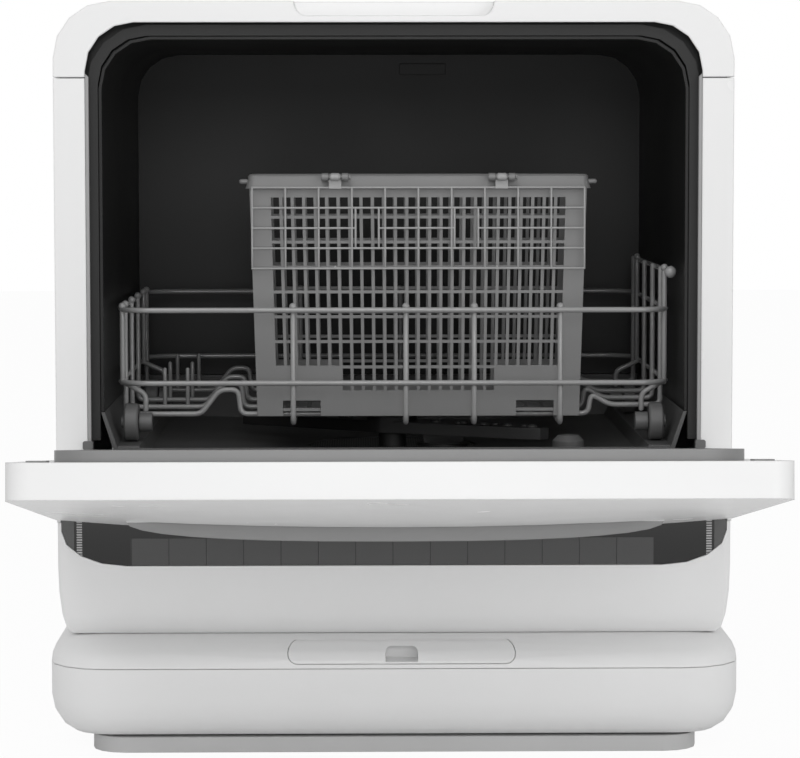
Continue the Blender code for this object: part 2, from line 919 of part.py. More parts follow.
def build_basin():
    half = tub_width / 2
    wall = tub_wall
    inner = [(floor_side, floor_z), (trough_side, trough_z), (track_inner, track_z), (track_outer, track_z),
             (half, tub_seam_z)]
    outer = [(across + wall, up - wall) for across, up in inner[:-1]] + [(half + wall, tub_seam_z)]
    outer[0] = (floor_side, floor_z - wall)
    basin = prism("tub_basin", [outer + mirrored(outer)], "XZ", tub_front, tub_back + wall, parts)
    slope = (half - track_outer) / (tub_seam_z - track_z)
    raised = inner[:-1] + [(half + slope * overrun, tub_seam_z + overrun)]
    hollow = prism("basin_hollow", [raised + mirrored(raised)], "XZ", tub_front + wall, tub_back, cutters)
    subtract(basin, hollow)
    lip_half = track_outer + slope * (front_lip_z - track_z) - touch
    mouth = [(lip_half, front_lip_z), (half + slope * overrun - touch, tub_seam_z + overrun)]
    mouth = mouth + mirrored(mouth)
    gate = prism("basin_gate", [mouth], "XZ", tub_front - overrun, tub_front + wall + overrun, cutters)
    subtract(basin, gate)
    centre = (0, sump_y, 0)
    drain = rod("drain_hole", hole_radius, "Z", floor_z - 2 * wall, floor_z + overrun, centre, cutters)
    subtract(basin, drain)


def build_tub_fittings():
    left = vent_centre_x - vent_width / 2
    low = (left, tub_back - touch - vent_thickness, vent_z)
    box("air_vent", low, (left + vent_width, tub_back - touch, vent_z + vent_height), parts)
    share = (float_x + float_radius - floor_side) / (trough_side - floor_side)
    foot = floor_z + (trough_z - floor_z) * share + touch
    top = foot + float_height
    radius = float_radius
    profile = [(0, top), (radius * 2 / 3, top), (radius, top - radius / 3), (radius, foot), (0, foot)]
    turned("float_housing", profile, "Z", (float_x, float_y, 0), parts, small_steps)


# Sump, filters, post and spray arm

def build_sump():
    top = floor_z - tub_wall - touch
    wall = sump_wall
    bottom = top - sump_depth
    foot = sump_bore - wall
    profile = [(0, bottom + wall), (foot, bottom + wall), (sump_bore, top - wall), (sump_bore, top),
               (sump_radius, top), (sump_radius, top - wall), (sump_bore + wall, top - wall),
               (foot + wall, bottom), (0, bottom)]
    turned("sump", profile, "Z", (0, sump_y, 0), parts)
    return bottom


def build_filters():
    top = floor_z - tub_wall
    radius = hole_radius - 2 * touch
    outline = arc((0, sump_y), radius, 0, 360, round_steps)[:-1]
    post_hole = arc((0, sump_y), post_radius + touch, 0, 360, small_steps)[:-1]
    cup_hole = arc((cup_offset, sump_y), cup_radius + touch, 0, 360, small_steps)[:-1]
    thickness = flat_filter_thickness
    prism("flat_filter", [outline, post_hole, cup_hole], "XY", top, top + thickness, parts)
    seat = top + thickness + touch
    rim = cup_radius + 2 * cup_wall
    inner = cup_radius - touch - cup_wall
    outer = cup_radius - touch
    profile = [(0, seat + cup_wall - cup_depth), (inner, seat + cup_wall - cup_depth), (inner, seat + cup_wall),
               (rim, seat + cup_wall), (rim, seat), (outer, seat), (outer, seat - cup_depth), (0, seat - cup_depth)]
    cup = turned("filter_cup", profile, "Z", (cup_offset, sump_y, 0), parts, small_steps)
    reach = inner + cup_wall / 2
    low = (cup_offset - reach, sump_y - cup_wall / 2, seat - cup_wall)
    high = (cup_offset + reach, sump_y + cup_wall / 2, seat + cup_grip)
    unite(cup, box("cup_grip", low, high, cutters))
    return cup


def build_post(sump_floor):
    foot = sump_floor + sump_wall + touch
    top = arm_bottom_z + arm_socket_depth - touch
    profile = [(0, top), (post_pin_radius, top), (post_pin_radius, post_shoulder_z), (post_radius, post_shoulder_z),
               (post_radius, foot), (0, foot)]
    turned("spray_post", profile, "Z", (0, sump_y, 0), parts, small_steps)


def build_spray_arm():
    root = arm_root_width / 2
    tip = arm_tip_width / 2
    reach = arm_reach - tip
    outline = [(0, -root)] + arc((reach, 0), tip, -90, 90) + [(0, root)] + arc((-reach, 0), tip, 90, 270)
    cosine = math.cos(arm_angle)
    sine = math.sin(arm_angle)

    def turn(across, along):
        return (across * cosine - along * sine, sump_y + across * sine + along * cosine)

    top = arm_bottom_z + arm_thickness
    loop = [turn(across, along) for across, along in outline]
    arm = prism("spray_arm", [loop], "XY", arm_bottom_z, top, parts)
    centre = (0, sump_y, 0)
    unite(arm, rod("arm_hub", arm_hub_radius, "Z", arm_bottom_z, top + 2 * nozzle_height, centre, cutters))
    for share in nozzle_shares:
        place = (*turn(share * reach, 0), 0)
        start = top - nozzle_height
        jet = rod("nozzle", nozzle_radius, "Z", start, top + nozzle_height, place, cutters, small_steps)
        unite(arm, jet)
    bore = post_pin_radius / math.cos(math.pi / small_steps) + axle_clearance
    socket_top = arm_bottom_z + arm_socket_depth
    socket = rod("arm_socket", bore, "Z", arm_bottom_z - overrun, socket_top, centre, cutters, small_steps)
    subtract(arm, socket)
    return arm


# Machinery

def capped_profile(radius, start, end):
    """A turned can with a small step at its top end and chamfered feet."""
    edge = radius / 8
    return [(0, end), (radius * 2 / 3, end), (radius * 2 / 3, end - edge), (radius, end - 2 * edge),
            (radius, start + edge), (radius - edge, start), (0, start)]


def build_machinery(sump_floor):
    top = sump_floor - touch
    wash = capped_profile(pump_radius, top - pump_length, top)
    turned("wash_pump", wash, "Z", (0, sump_y, 0), parts)
    gap = pump_radius + heater_radius + touch
    heater = capped_profile(heater_radius, top - heater_length, top)
    turned("flow_heater", heater, "Z", (gap, sump_y, 0), parts, small_steps)
    floor = base_bottom_z + shell_wall + touch
    rim = base_seam_z - touch
    half = tank_width / 2
    tank = box("water_tank", (-half, tank_front, floor), (half, tank_back, rim), parts)
    wall = tank_wall
    low = (wall - half, tank_front + wall, floor + wall)
    subtract(tank, box("tank_hollow", low, (half - wall, tank_back - wall, rim - wall), cutters))
    port = (cover_offset, tray_spout_y, 0)
    mouth = rod("tank_mouth", tray_spout_radius, "Z", rim - 2 * wall, rim + overrun, port, cutters, small_steps)
    subtract(tank, mouth)
    place = (drain_pump_x, drain_pump_y, 0)
    drain = capped_profile(drain_pump_radius, floor, floor + drain_pump_length)
    turned("drain_pump", drain, "Z", place, parts)
    back = body_back - shell_wall - touch
    fan = [(0, back), (fan_radius, back), (fan_radius, back - fan_thickness * 2 / 3),
           (fan_radius * 2 / 3, back - fan_thickness), (0, back - fan_thickness)]
    turned("drying_fan", fan, "Y", (fan_x, 0, fan_z), parts)
    outer = touch + shell_wall - body_width / 2
    low = (outer, air_break_front, air_break_bottom_z)
    box("air_break", low, (outer + air_break_thickness, air_break_back, air_break_top_z), parts)


def build_ports():
    outside = body_back + touch
    for name, place in (("water_inlet_port", inlet_x), ("drain_port", drain_x), ("cord_gland", gland_x)):
        inner = body_back - 2 * shell_wall
        mouth = outside + port_reach
        flange = outside + port_thickness
        depth = outside - shell_wall
        profile = [(0, depth), (port_bore, depth), (port_bore, mouth), (port_radius - fillet, mouth),
                   (port_radius - fillet, flange), (port_flange, flange), (port_flange, outside),
                   (port_radius - touch, outside), (port_radius - touch, inner), (0, inner)]
        turned(name, profile[::-1], "Y", (place, 0, port_z), parts, small_steps)


# Door, modelled closed

hinge_y = body_front - door_gap - hinge_inset
inner_face_y = body_front - door_gap
door_heel = pin_radius + touch + door_wall


def outer_depth(across, up, sink):
    """How far the door's outer face stands in front of its inner face: a wedge with a barrel bulge."""
    share = 1 - up / door_length
    crown = 1 - (2 * across / door_width) ** 2
    wedge = door_tip_thickness + (door_heel_thickness - door_tip_thickness) * share
    return wedge + door_bulge * crown * share - sink


def door_block(name, sink, face_y, group):
    """A loft between the flat inner face and the bulged outer face, over a grid of stations."""
    columns = 10
    rows = 6
    margin = 2 * overrun
    bm = bmesh.new()
    near = []
    far = []
    for row in range(rows + 1):
        up = -door_heel - margin + (door_length + door_heel + 2 * margin) * row / rows
        for column in range(columns + 1):
            across = (door_width + 2 * margin) * (column / columns - 1 / 2)
            height = hinge_z + up
            near.append(bm.verts.new((across, inner_face_y - outer_depth(across, up, sink), height)))
            far.append(bm.verts.new((across, face_y, height)))
    stride = columns + 1
    for row in range(rows):
        for column in range(columns):
            first = row * stride + column
            quad = (first, first + 1, first + 1 + stride, first + stride)
            bm.faces.new([near[index] for index in quad])
            bm.faces.new([far[index] for index in reversed(quad)])
    border = [column for column in range(stride)]
    border += [row * stride + columns for row in range(1, rows + 1)]
    border += [rows * stride + column for column in range(columns - 1, -1, -1)]
    border += [row * stride for row in range(rows - 1, 0, -1)]
    for first, second in zip(border, border[1:] + border[:1]):
        bm.faces.new((near[first], far[first], far[second], near[second]))
    return add_mesh(name, closed_mesh(name, bm), group)


def door_outline(inset):
    half = door_width / 2 - inset
    bottom = hinge_z - door_heel + inset
    top = hinge_z + door_length - inset
    return arch(half, bottom, top, door_corner - inset)


def lip_outline():
    """The crescent lip seen from above: a superellipse that grows out of the door's face and back into it."""
    half = lip_width / 2
    root = outer_depth(half, lip_height - door_heel, lip_sink)
    steps = 4 * corner_steps
    points = []
    for index in range(steps + 1):
        angle = math.pi * (1 - index / steps)
        across = math.copysign(abs(math.cos(angle)) ** (2 / lip_roundness), math.cos(angle))
        share = math.sin(angle) ** (2 / lip_roundness) if 0 < index < steps else 0
        points.append((half * across, inner_face_y - root - (lip_depth - root) * share))
    inside = inner_face_y - root + 2 * door_wall
    return points + [(half, inside), (-half, inside)]


def build_door_outer():
    depth = inner_face_y - door_heel_thickness - 2 * door_bulge
    door = door_block("door_outer", 0, inner_face_y, parts)
    form = prism("door_form", [door_outline(0)], "XZ", depth, inner_face_y + overrun, cutters)
    combine(door, form, "INTERSECT")
    heel = hinge_z - door_heel
    unite(door, prism("door_lip", [lip_outline()], "XY", heel, heel + lip_height, cutters))
    hollow = door_block("door_hollow", door_wall, inner_face_y - door_wall, cutters)
    inner_form = prism("hollow_form", [door_outline(door_wall)], "XZ", depth, inner_face_y + overrun, cutters)
    combine(hollow, inner_form, "INTERSECT")
    subtract(door, hollow)
    half = liner_width / 2 + 2 * touch
    top = hinge_z + liner_length + 3 * touch
    window = arch(half, heel - overrun, top, opening_radius + touch)
    mouth = prism("liner_mouth", [window], "XZ", inner_face_y - door_wall - overrun, inner_face_y + overrun, cutters)
    subtract(door, mouth)
    for side in (-1, 1):
        near = liner_width / 2 - overrun
        far = near + overrun + 2 * touch + bracket_thickness + 2 * touch + overrun
        left, right = sorted((side * near, side * far))
        reach = hinge_inset + bracket_radius + overrun
        low = (left, inner_face_y - reach, heel - overrun)
        high = (right, inner_face_y + overrun, hinge_z + bracket_radius + overrun)
        subtract(door, box("bracket_notch", low, high, cutters))
    return door


def build_door_liner():
    half = liner_width / 2
    wall = liner_wall
    level = track_z - roll_clearance
    sine = math.sin(door_open_angle)
    cosine = math.cos(door_open_angle)

    def floor_at(up):
        """Depth behind the inner face at which the pocket's floor is level when the door is open."""
        return hinge_inset - (level - hinge_z - up * cosine) / sine

    def at(depth, up):
        return (inner_face_y - depth, hinge_z + up)

    end = floor_at(pocket_length)
    outline = [at(-rim_height, liner_heel), at(floor_at(liner_heel) + wall, liner_heel),
               at(end + wall, pocket_length), at(end + wall, dispenser_end + wall),
               at(liner_edge_depth, liner_length + overrun), at(-rim_height, liner_length + overrun)]
    liner = prism("door_liner", [outline], "YZ", -half - overrun, half + overrun, parts)
    border = arch(half, hinge_z - overrun, hinge_z + liner_length, opening_radius)
    far = inner_face_y - door_heel_thickness
    form = prism("liner_form", [border], "XZ", far, inner_face_y + rim_height + overrun, cutters)
    combine(liner, form, "INTERSECT")
    inner = half - rim_width
    above = -rim_height - overrun
    before = liner_heel - overrun
    ramp = [at(above, before), at(floor_at(before), before), at(end, pocket_length), at(above, plateau_start)]
    subtract(liner, prism("liner_pocket", [ramp], "YZ", -inner, inner, cutters))
    start = hinge_z + plateau_start - overrun
    finish = hinge_z + liner_length - rim_width
    shelf = arch(inner, start, finish, opening_radius - rim_width)
    surface = inner_face_y - plateau_sink
    near = inner_face_y + rim_height + overrun
    subtract(liner, prism("liner_plateau", [shelf], "XZ", surface, near, cutters))
    width = dispenser_width / 2
    hole = [at(above, dispenser_start), at(end + 2 * wall, dispenser_start), at(end + 2 * wall, dispenser_end),
            at(above, dispenser_end)]
    subtract(liner, prism("dispenser_hole", [hole], "YZ", -width, width, cutters))
    return liner


def build_dispenser():
    half = dispenser_width / 2 - touch
    surface = inner_face_y - plateau_sink
    low = (-half, surface - dispenser_depth, hinge_z + dispenser_start + touch)
    high = (half, surface, hinge_z + dispenser_end - touch)
    body = box("dispenser_body", low, high, parts)
    lid_start = hinge_z + dispenser_lid_hinge - dispenser_lid_length
    well_half = cup_well_width / 2
    low = (-well_half, surface - cup_well_depth, lid_start + fillet)
    high = (well_half, surface + overrun, lid_start + fillet + cup_well_length)
    subtract(body, box("cup_well", low, high, cutters))
    lid_half = dispenser_lid_width / 2
    near = surface + dispenser_lid_lift
    low = (-lid_half, near, lid_start)
    high = (lid_half, near + dispenser_lid_thickness, hinge_z + dispenser_lid_hinge)
    lid = box("dispenser_lid", low, high, parts)
    return body, lid, near + dispenser_lid_thickness / 2


def build_hinges():
    """A fixed bracket each side of the opening and the pin that the door turns on."""
    near = liner_width / 2 + 2 * touch
    far = near + bracket_thickness
    pins = []
    for name, side in (("left", -1), ("right", 1)):
        left, right = sorted((side * near, side * far))
        nose = arc((hinge_y, hinge_z), bracket_radius, 90, 270, 2 * corner_steps)
        outline = nose + [(bracket_root_y, hinge_z - bracket_radius), (bracket_root_y, bracket_head_z),
                          (bracket_head_front, bracket_head_z), (bracket_head_front, bracket_head_bottom_z),
                          (bracket_head_front + 2 * fillet, hinge_z + bracket_radius)]
        bracket = prism(f"hinge_bracket_{name}", [outline], "YZ", left, right, parts)
        bore = pin_radius / math.cos(math.pi / small_steps) + pin_clearance
        centre = (0, hinge_y, hinge_z)
        hole = rod("pin_bore", bore, "X", left - overrun, right + overrun, centre, cutters, small_steps)
        subtract(bracket, hole)
        start = near - touch
        end = door_width / 2 - door_wall - touch
        left, right = sorted((side * start, side * end))
        pins.append(rod(f"hinge_pin_{name}", pin_radius, "X", left, right, centre, parts, small_steps))
    return pins


# Rack

axle_z = track_z + touch + wheel_radius
wheel_places = [rack_front + setback for setback in wheel_setbacks]


def loop_path(half, front, back, height):
    outline = rounded_rectangle(-half, half, front, back, rack_corner, corner_steps)
    return [(across, along, height) for across, along in outline]


def rail_reach(place):
    """Half the rails' width at one depth: less than full within their rounded front corners."""
    into = max(rack_front + wire_radius + rack_corner - place, 0)
    return rack_width / 2 - wire_radius - rack_corner + math.sqrt(rack_corner ** 2 - into ** 2)


def build_rack():
    """All wires of the rack, welded where they cross."""
    radius = wire_radius
    half = rack_width / 2 - radius
    front = rack_front + radius
    back = rack_back - radius
    weld = radius * 6 / 5
    frame = wire("rack_frame", loop_path(half, front, back, rail_z), radius, parts, cyclic=True)
    wires = collection("rack_wires")

    def lay(name, corners, bend=wire_bend, thickness=radius):
        return wire(name, rounded_path(corners, bend), thickness, wires)

    wire("lower_rail", loop_path(half, front, back, lower_rail_z), radius, wires, cyclic=True)
    post_half = half - weld
    for place in long_wire_places:
        lay("long_wire", [(place, front + weld, rail_z + weld), (place, front + weld, long_wire_z),
                          (place, back - weld, long_wire_z), (place, back - weld, rail_z + weld)])
    left_hump = hump_x - hump_width / 2
    right_hump = hump_x + hump_width / 2
    cross_wire_places = [rack_front + setback for setback in cross_wire_setbacks]
    for place in cross_wire_places:
        lay("cross_wire", [(-post_half, place, rail_z + weld), (-post_half, place, cross_wire_z),
                           (left_hump - hump_width, place, cross_wire_z), (left_hump, place, hump_z),
                           (right_hump, place, hump_z), (right_hump + radius, place, cross_wire_z),
                           (step_x - radius, place, cross_wire_z), (step_x, place, step_z),
                           (step_x + hump_width, place, shelf_z), (post_half, place, shelf_z),
                           (post_half, place, hoop_z)], bend=2 * radius)
    for place in [rack_front + setback for setback in short_post_setbacks]:
        for side, top in ((-1, rail_z + weld), (1, hoop_z)):
            lay("short_post", [(side * post_half, place, lower_rail_z - weld), (side * post_half, place, top)])
    tip = rack_front - radius
    hoop_x = post_half + weld
    lay("side_hoop", [(hoop_x, tip, hoop_z - weld), (hoop_x, back - rack_corner, hoop_z - weld)])
    bm = bmesh.new()
    bmesh.ops.create_uvsphere(bm, u_segments=small_steps, v_segments=small_steps // 2, radius=hoop_tip_radius)
    bmesh.ops.translate(bm, vec=(hoop_x, tip, hoop_z - weld), verts=bm.verts)
    add_mesh("hoop_tip", closed_mesh("hoop_tip", bm), wires)
    for side in (-1, 1):
        knee = wheel_x - wheel_width / 2 - running_gap - carrier_width / 2
        for place in wheel_places:
            lay("wheel_stem", [(side * rail_reach(place), place, lower_rail_z), (side * knee, place, bend_knee_z),
                               (side * knee, place, axle_z + carrier_radius + touch)],
                bend=2 * radius)
    for place in cross_wire_places[1:]:
        for across in [inset - rack_width / 2 for inset in tine_insets]:
            foot = cross_wire_z - radius / 3
            lay("tine", [(across, place, foot), (across, place, cross_wire_z + tine_height)], thickness=tine_radius)
    join = frame.modifiers.new("weld_wires", "BOOLEAN")
    join.operation = "UNION"
    join.operand_type = "COLLECTION"
    join.collection = wires
    join.solver = "EXACT"
    return frame


def build_wheels():
    """Carriers on the rack's stems, each with a trapped wheel."""
    wheels = []
    carriers = []
    inner_side = wheel_x - wheel_width / 2
    outer_side = wheel_x + wheel_width / 2
    edge = wheel_edge
    for end, place in zip(("front", "rear"), wheel_places):
        for name, side in (("left", -1), ("right", 1)):
            bore = axle_radius / math.cos(math.pi / small_steps) + axle_clearance
            rim = wheel_radius
            tyre = [(bore, outer_side), (rim - edge, outer_side), (rim, outer_side - edge),
                    (rim, inner_side + edge), (rim - edge, inner_side), (bore, inner_side)]
            start = inner_side - running_gap - carrier_width
            shoulder = inner_side - running_gap
            cap = outer_side + running_gap
            finish = cap + carrier_head_width
            hub = [(0, finish), (carrier_head_radius, finish), (carrier_head_radius, cap), (axle_radius, cap),
                   (axle_radius, shoulder), (carrier_radius, shoulder), (carrier_radius, start), (0, start)]
            if side < 0:
                tyre = [(radius, -along) for radius, along in reversed(tyre)]
                hub = [(radius, -along) for radius, along in reversed(hub)]
            centre = (0, place, axle_z)
            wheel = turned(f"wheel_{end}_{name}", tyre, "X", centre, parts)
            wheels.append((wheel, (side * wheel_x, place, axle_z)))
            carriers.append(turned(f"wheel_carrier_{end}_{name}", hub, "X", centre, parts, small_steps))
    return wheels, carriers


# Cutlery basket and lid

def foot_notches():
    """The lower edge of a wall, from right to left, with two notches that clear the long wires."""
    edge = []
    for middle in (foot_notch_offset, -foot_notch_offset):
        right = middle + foot_notch_width / 2
        left = middle - foot_notch_width / 2
        edge += [(right, basket_foot_z), (right, foot_notch_z), (left, foot_notch_z), (left, basket_foot_z)]
    return edge


def basket_wall_loops():
    top_half = basket_top_width / 2
    foot_half = basket_foot_width / 2
    top = basket_top_z - rim_band / 2
    outline = [(foot_half, basket_foot_z)] + foot_notches()
    outline += [(-foot_half, basket_foot_z), (-top_half, top), (top_half, top)]
    inner = foot_half - frame_band
    cells = grid(-inner, inner, grid_bottom_z, grid_top_z, grid_columns, grid_rows, slat, bar)
    pitch = (2 * inner + slat) / grid_columns
    count = int(grid_drop_width / pitch)
    drop = (count * pitch - slat) / 2
    cells += grid(-drop, drop, grid_drop_z, grid_bottom_z - bar, count, 1, slat, bar)
    return [[(across + basket_x, up) for across, up in loop] for loop in [outline] + cells]


def build_basket():
    back = basket_front + basket_depth
    wall = basket_wall
    loops = basket_wall_loops()
    basket = prism("cutlery_basket", loops, "XZ", basket_front, basket_front + wall, parts)
    rear = prism("basket_rear_wall", loops, "XZ", back - wall, back, cutters)
    lean = math.atan((basket_top_width - basket_foot_width) / 2 / (basket_top_z - basket_foot_z))
    side_low = basket_floor_z
    side_high = basket_top_z - rim_band / 2
    start = basket_front + wall / 2
    finish = back - wall / 2
    cells = grid(start + frame_band, finish - frame_band, grid_bottom_z, grid_top_z,
                 side_columns, grid_rows, slat, bar)
    tools = [rear]
    for side in (-1, 1):
        outline = rectangle(start, finish, side_low, side_high)
        foot = basket_foot_width / 2 - wall - touch
        left, right = sorted((side * foot, side * (foot + wall)))
        end = prism("basket_end_wall", [outline] + cells, "YZ", left, right, cutters)
        pivot = Vector((side * foot, 0, basket_foot_z))
        lean_turn = Matrix.Rotation(side * lean, 4, "Y")
        place = Matrix.Translation(Vector((basket_x, 0, 0)) + pivot) @ lean_turn @ Matrix.Translation(-pivot)
        end.data.transform(place)
        tools.append(end)
    half = basket_foot_width / 2 - wall / 2
    floor_cells = grid(basket_x - half + frame_band, basket_x + half - frame_band, start + frame_band,
                       finish - frame_band, floor_columns, floor_rows, slat, bar)
    outline = rectangle(basket_x - half, basket_x + half, start, finish)
    tools.append(prism("basket_floor", [outline] + floor_cells, "XY", basket_floor_z, basket_floor_z + wall, cutters))
    rim_half = basket_top_width / 2 + rim_lip
    inside = basket_top_width / 2 - wall - 2 * touch
    outline = rectangle(basket_x - rim_half, basket_x + rim_half, basket_front - rim_lip, back + rim_lip)
    near = basket_front + wall + touch
    far = back - wall - touch
    hole = rectangle(basket_x - inside, basket_x + inside, near, far)
    tools.append(prism("basket_rim", [outline, hole], "XY", basket_top_z - rim_band, basket_top_z, cutters))
    peg_y = basket_front + 2 * rim_lip
    for side in (-1, 1):
        left, right = sorted((side * (rim_half - rim_lip), side * (rim_half + peg_length)))
        centre = (0, peg_y, basket_top_z - rim_band / 2)
        peg = rod("basket_peg", peg_radius, "X", basket_x + left, basket_x + right, centre, cutters, small_steps)
        tools.append(peg)
    for place in lid_hinge_places:
        for side in (-1, 1):
            tools.append(knuckle_lug(basket_x + place, side))
    unite(basket, *tools)
    for place in lid_hinge_places:
        reach = knuckle_width / 2 + knuckle_gap + lug_width + overrun
        subtract(basket, knuckle_bore("lug_bore", basket_x + place, reach))
    return basket


def knuckle_bore(name, middle, reach):
    bore = lid_pin_radius / math.cos(math.pi / small_steps) + pin_clearance
    centre = (0, lid_axis_y, lid_axis_z)
    return rod(name, bore, "X", middle - reach, middle + reach, centre, cutters, small_steps)


def knuckle_lug(middle, side):
    """A lug that runs from the basket's rim to the lid's axis, round at its nose."""
    near = middle + side * (knuckle_width / 2 + knuckle_gap)
    far = near + side * lug_width
    left, right = sorted((near, far))
    rim = basket_front - rim_lip / 2
    nose = arc((lid_axis_y, lid_axis_z), knuckle_radius, 90, 270)
    outline = nose + [(rim, lid_axis_z - knuckle_radius), (rim, basket_top_z - rim_lip / 5)]
    return prism("hinge_lug", [outline], "YZ", left, right, cutters)


def build_basket_lid():
    half = lid_width / 2
    bottom = lid_top_z - lid_height
    margin = lid_bar
    cells = grid(basket_x - half + margin, basket_x + half - margin, bottom + margin, lid_top_z - margin,
                 lid_columns, lid_rows, lid_bar, lid_bar)
    slot_columns = (3, 6)
    merged = []
    for index, loop in enumerate(cells):
        row, column = divmod(index, lid_columns)
        if column in slot_columns and row == 1:
            above = cells[index + lid_columns]
            merged.append([loop[0], loop[1], above[2], above[3]])
        elif not (column in slot_columns and row == 2):
            merged.append(loop)
    outline = rectangle(basket_x - half, basket_x + half, bottom, lid_top_z)
    near = lid_axis_y + lid_offset
    far = near + lid_thickness
    lid = prism("basket_lid", [outline] + merged, "XZ", near, far, parts)
    for place in lid_hinge_places:
        middle = basket_x + place
        left = middle - knuckle_width / 2
        right = middle + knuckle_width / 2
        centre = (0, lid_axis_y, lid_axis_z)
        roll = rod("lid_knuckle", knuckle_radius, "X", left, right, centre, cutters, small_steps)
        arm = box("lid_arm", (left, near, lid_top_z - margin / 2), (right, far, lid_axis_z), cutters)
        unite(lid, roll, arm)
        subtract(lid, knuckle_bore("knuckle_bore", middle, knuckle_width / 2 + overrun))
    return lid


def build_lid_pins():
    pins = []
    for name, place in zip(("left", "right"), lid_hinge_places):
        middle = basket_x + place
        reach = knuckle_width / 2 + knuckle_gap + lug_width + knuckle_gap
        head = lid_pin_head_width
        profile = [(0, reach + head), (lid_pin_head, reach + head), (lid_pin_head, reach), (lid_pin_radius, reach),
                   (lid_pin_radius, -reach), (0, -reach)]
        centre = (middle, lid_axis_y, lid_axis_z)
        pins.append(turned(f"lid_pin_{name}", profile, "X", centre, parts, small_steps))
    return pins


# Joints: each moving piece hangs from an empty on its axis

def joint(name, place, children, parent=None):
    """An empty at the joint; its children keep their place in the world."""
    hub = bpy.data.objects.new(name, None)
    parts.objects.link(hub)
    hub.matrix_world = Matrix.Translation(place)
    if parent is not None:
        hub.parent = parent
        hub.matrix_parent_inverse = Matrix.Translation(-parent_place[parent.name])
    parent_place[hub.name] = Vector(place)
    for child in children:
        child.parent = hub
        child.matrix_parent_inverse = Matrix.Translation(-Vector(place))
    return hub


parent_place = {}


def settle_modifiers():
    """Give each piece its evaluated mesh, so that a joint can turn it away from its cutters."""
    bpy.context.view_layer.update()
    evaluated = bpy.context.evaluated_depsgraph_get()
    settled = {}
    for piece in parts.objects:
        settled[piece.name] = bpy.data.meshes.new_from_object(piece.evaluated_get(evaluated))
    for name, mesh in settled.items():
        piece = bpy.data.objects[name]
        piece.modifiers.clear()
        piece.data = mesh


def paint(finish, *names):
    """Give each named piece its own material of one finish."""
    colour, roughness, metallic = finishes[finish]
    channels = [int(colour[start:start + 2], 16) / 255 for start in (0, 2, 4)]
    linear = [(channel + 0.055) / 1.055 for channel in channels]
    for name in names:
        material = bpy.data.materials.new(name)
        material.use_nodes = True
        shader = material.node_tree.nodes["Principled BSDF"]
        shader.inputs["Base Color"].default_value = (*[value ** 2.4 for value in linear], 1)
        shader.inputs["Roughness"].default_value = roughness
        shader.inputs["Metallic"].default_value = metallic
        piece = bpy.data.objects[name]
        piece.data.materials.clear()
        piece.data.materials.append(material)
        piece.data.set_sharp_from_angle(angle=math.radians(30))


def build_all():
    build_plinth()
    build_base_pan()
    build_shoulder()
    fill_cover = build_fill_cover()
    build_fill_tray()
    build_housing()
    build_window()
    build_top_cover()
    build_side_panel("left_panel", -1)
    build_side_panel("right_panel", 1)
    build_rear_cover()
    build_tub()
    build_gasket()
    build_basin()
    build_tub_fittings()
    sump_floor = build_sump()
    cup = build_filters()
    build_post(sump_floor)
    arm = build_spray_arm()
    build_machinery(sump_floor)
    build_ports()
    door = build_door_outer()
    liner = build_door_liner()
    dispenser, dispenser_lid, lid_y = build_dispenser()
    pins = build_hinges()
    frame = build_rack()
    wheels, carriers = build_wheels()
    basket = build_basket()
    lid = build_basket_lid()
    lid_pins = build_lid_pins()
    settle_modifiers()

    hinge = joint("door_hinge", (0, hinge_y, hinge_z), [door, liner, dispenser, *pins])
    lid_place = (0, lid_y, hinge_z + dispenser_lid_hinge)
    joint("dispenser_lid_hinge", lid_place, [dispenser_lid], hinge)
    hinge.rotation_euler.x = door_open_angle
    slide = joint("rack_slide", (0, rack_front, track_z), [frame, *carriers])
    for wheel, place in wheels:
        joint(wheel.name + "_axle", place, [wheel], slide)
    lift = joint("basket_lift", (basket_x, basket_front, basket_floor_z), [basket, *lid_pins], slide)
    joint("basket_lid_hinge", (basket_x, lid_axis_y, lid_axis_z), [lid], lift)
    joint("spray_arm_spin", (0, sump_y, arm_bottom_z), [arm])
    joint("filter_turn", (cup_offset, sump_y, floor_z), [cup])
    joint("fill_cover_slide", (cover_offset, cover_back(), cover_top_z), [fill_cover])

    paint("white_shell", "top_cover", "left_panel", "right_panel", "rear_cover", "door_outer")
    paint("base_white", "base_pan", "base_shoulder", "fill_cover", "lower_housing")
    paint("plinth_grey", "plinth")
    pads = [f"foot_pad_{end}_{side}" for end in ("front", "rear") for side in ("left", "right")]
    paint("rubber_grey", *pads)
    paint("smoked", "smoked_window")
    paint("light_guide", "light_guide")
    paint("board_green", "control_board")
    paint("tub_dark", "tub", "air_vent")
    paint("basin_grey", "tub_basin", "float_housing")
    paint("gasket_dark", "door_gasket")
    paint("sump_black", "sump", "spray_post")
    paint("filter_steel", "flat_filter")
    paint("arm_dark", "spray_arm", "filter_cup")
    paint("machinery", "wash_pump", "flow_heater", "drain_pump", "drying_fan")
    paint("machinery", "water_inlet_port", "drain_port", "cord_gland")
    paint("tank_clear", "water_tank", "fill_tray", "air_break")
    paint("liner_grey", "door_liner", "dispenser_body", "dispenser_lid")
    paint("hinge_steel", "hinge_bracket_left", "hinge_bracket_right", "hinge_pin_left", "hinge_pin_right")
    paint("wire_coat", "rack_frame")
    paint("wheel_grey", *[wheel.name for wheel, place in wheels], *[carrier.name for carrier in carriers])
    paint("basket_grey", "cutlery_basket", "basket_lid", "lid_pin_left", "lid_pin_right")
    bpy.context.view_layer.update()


build_all()
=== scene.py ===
# Countertop dishwasher with its door down: looks around the fixed CAD frame
import math

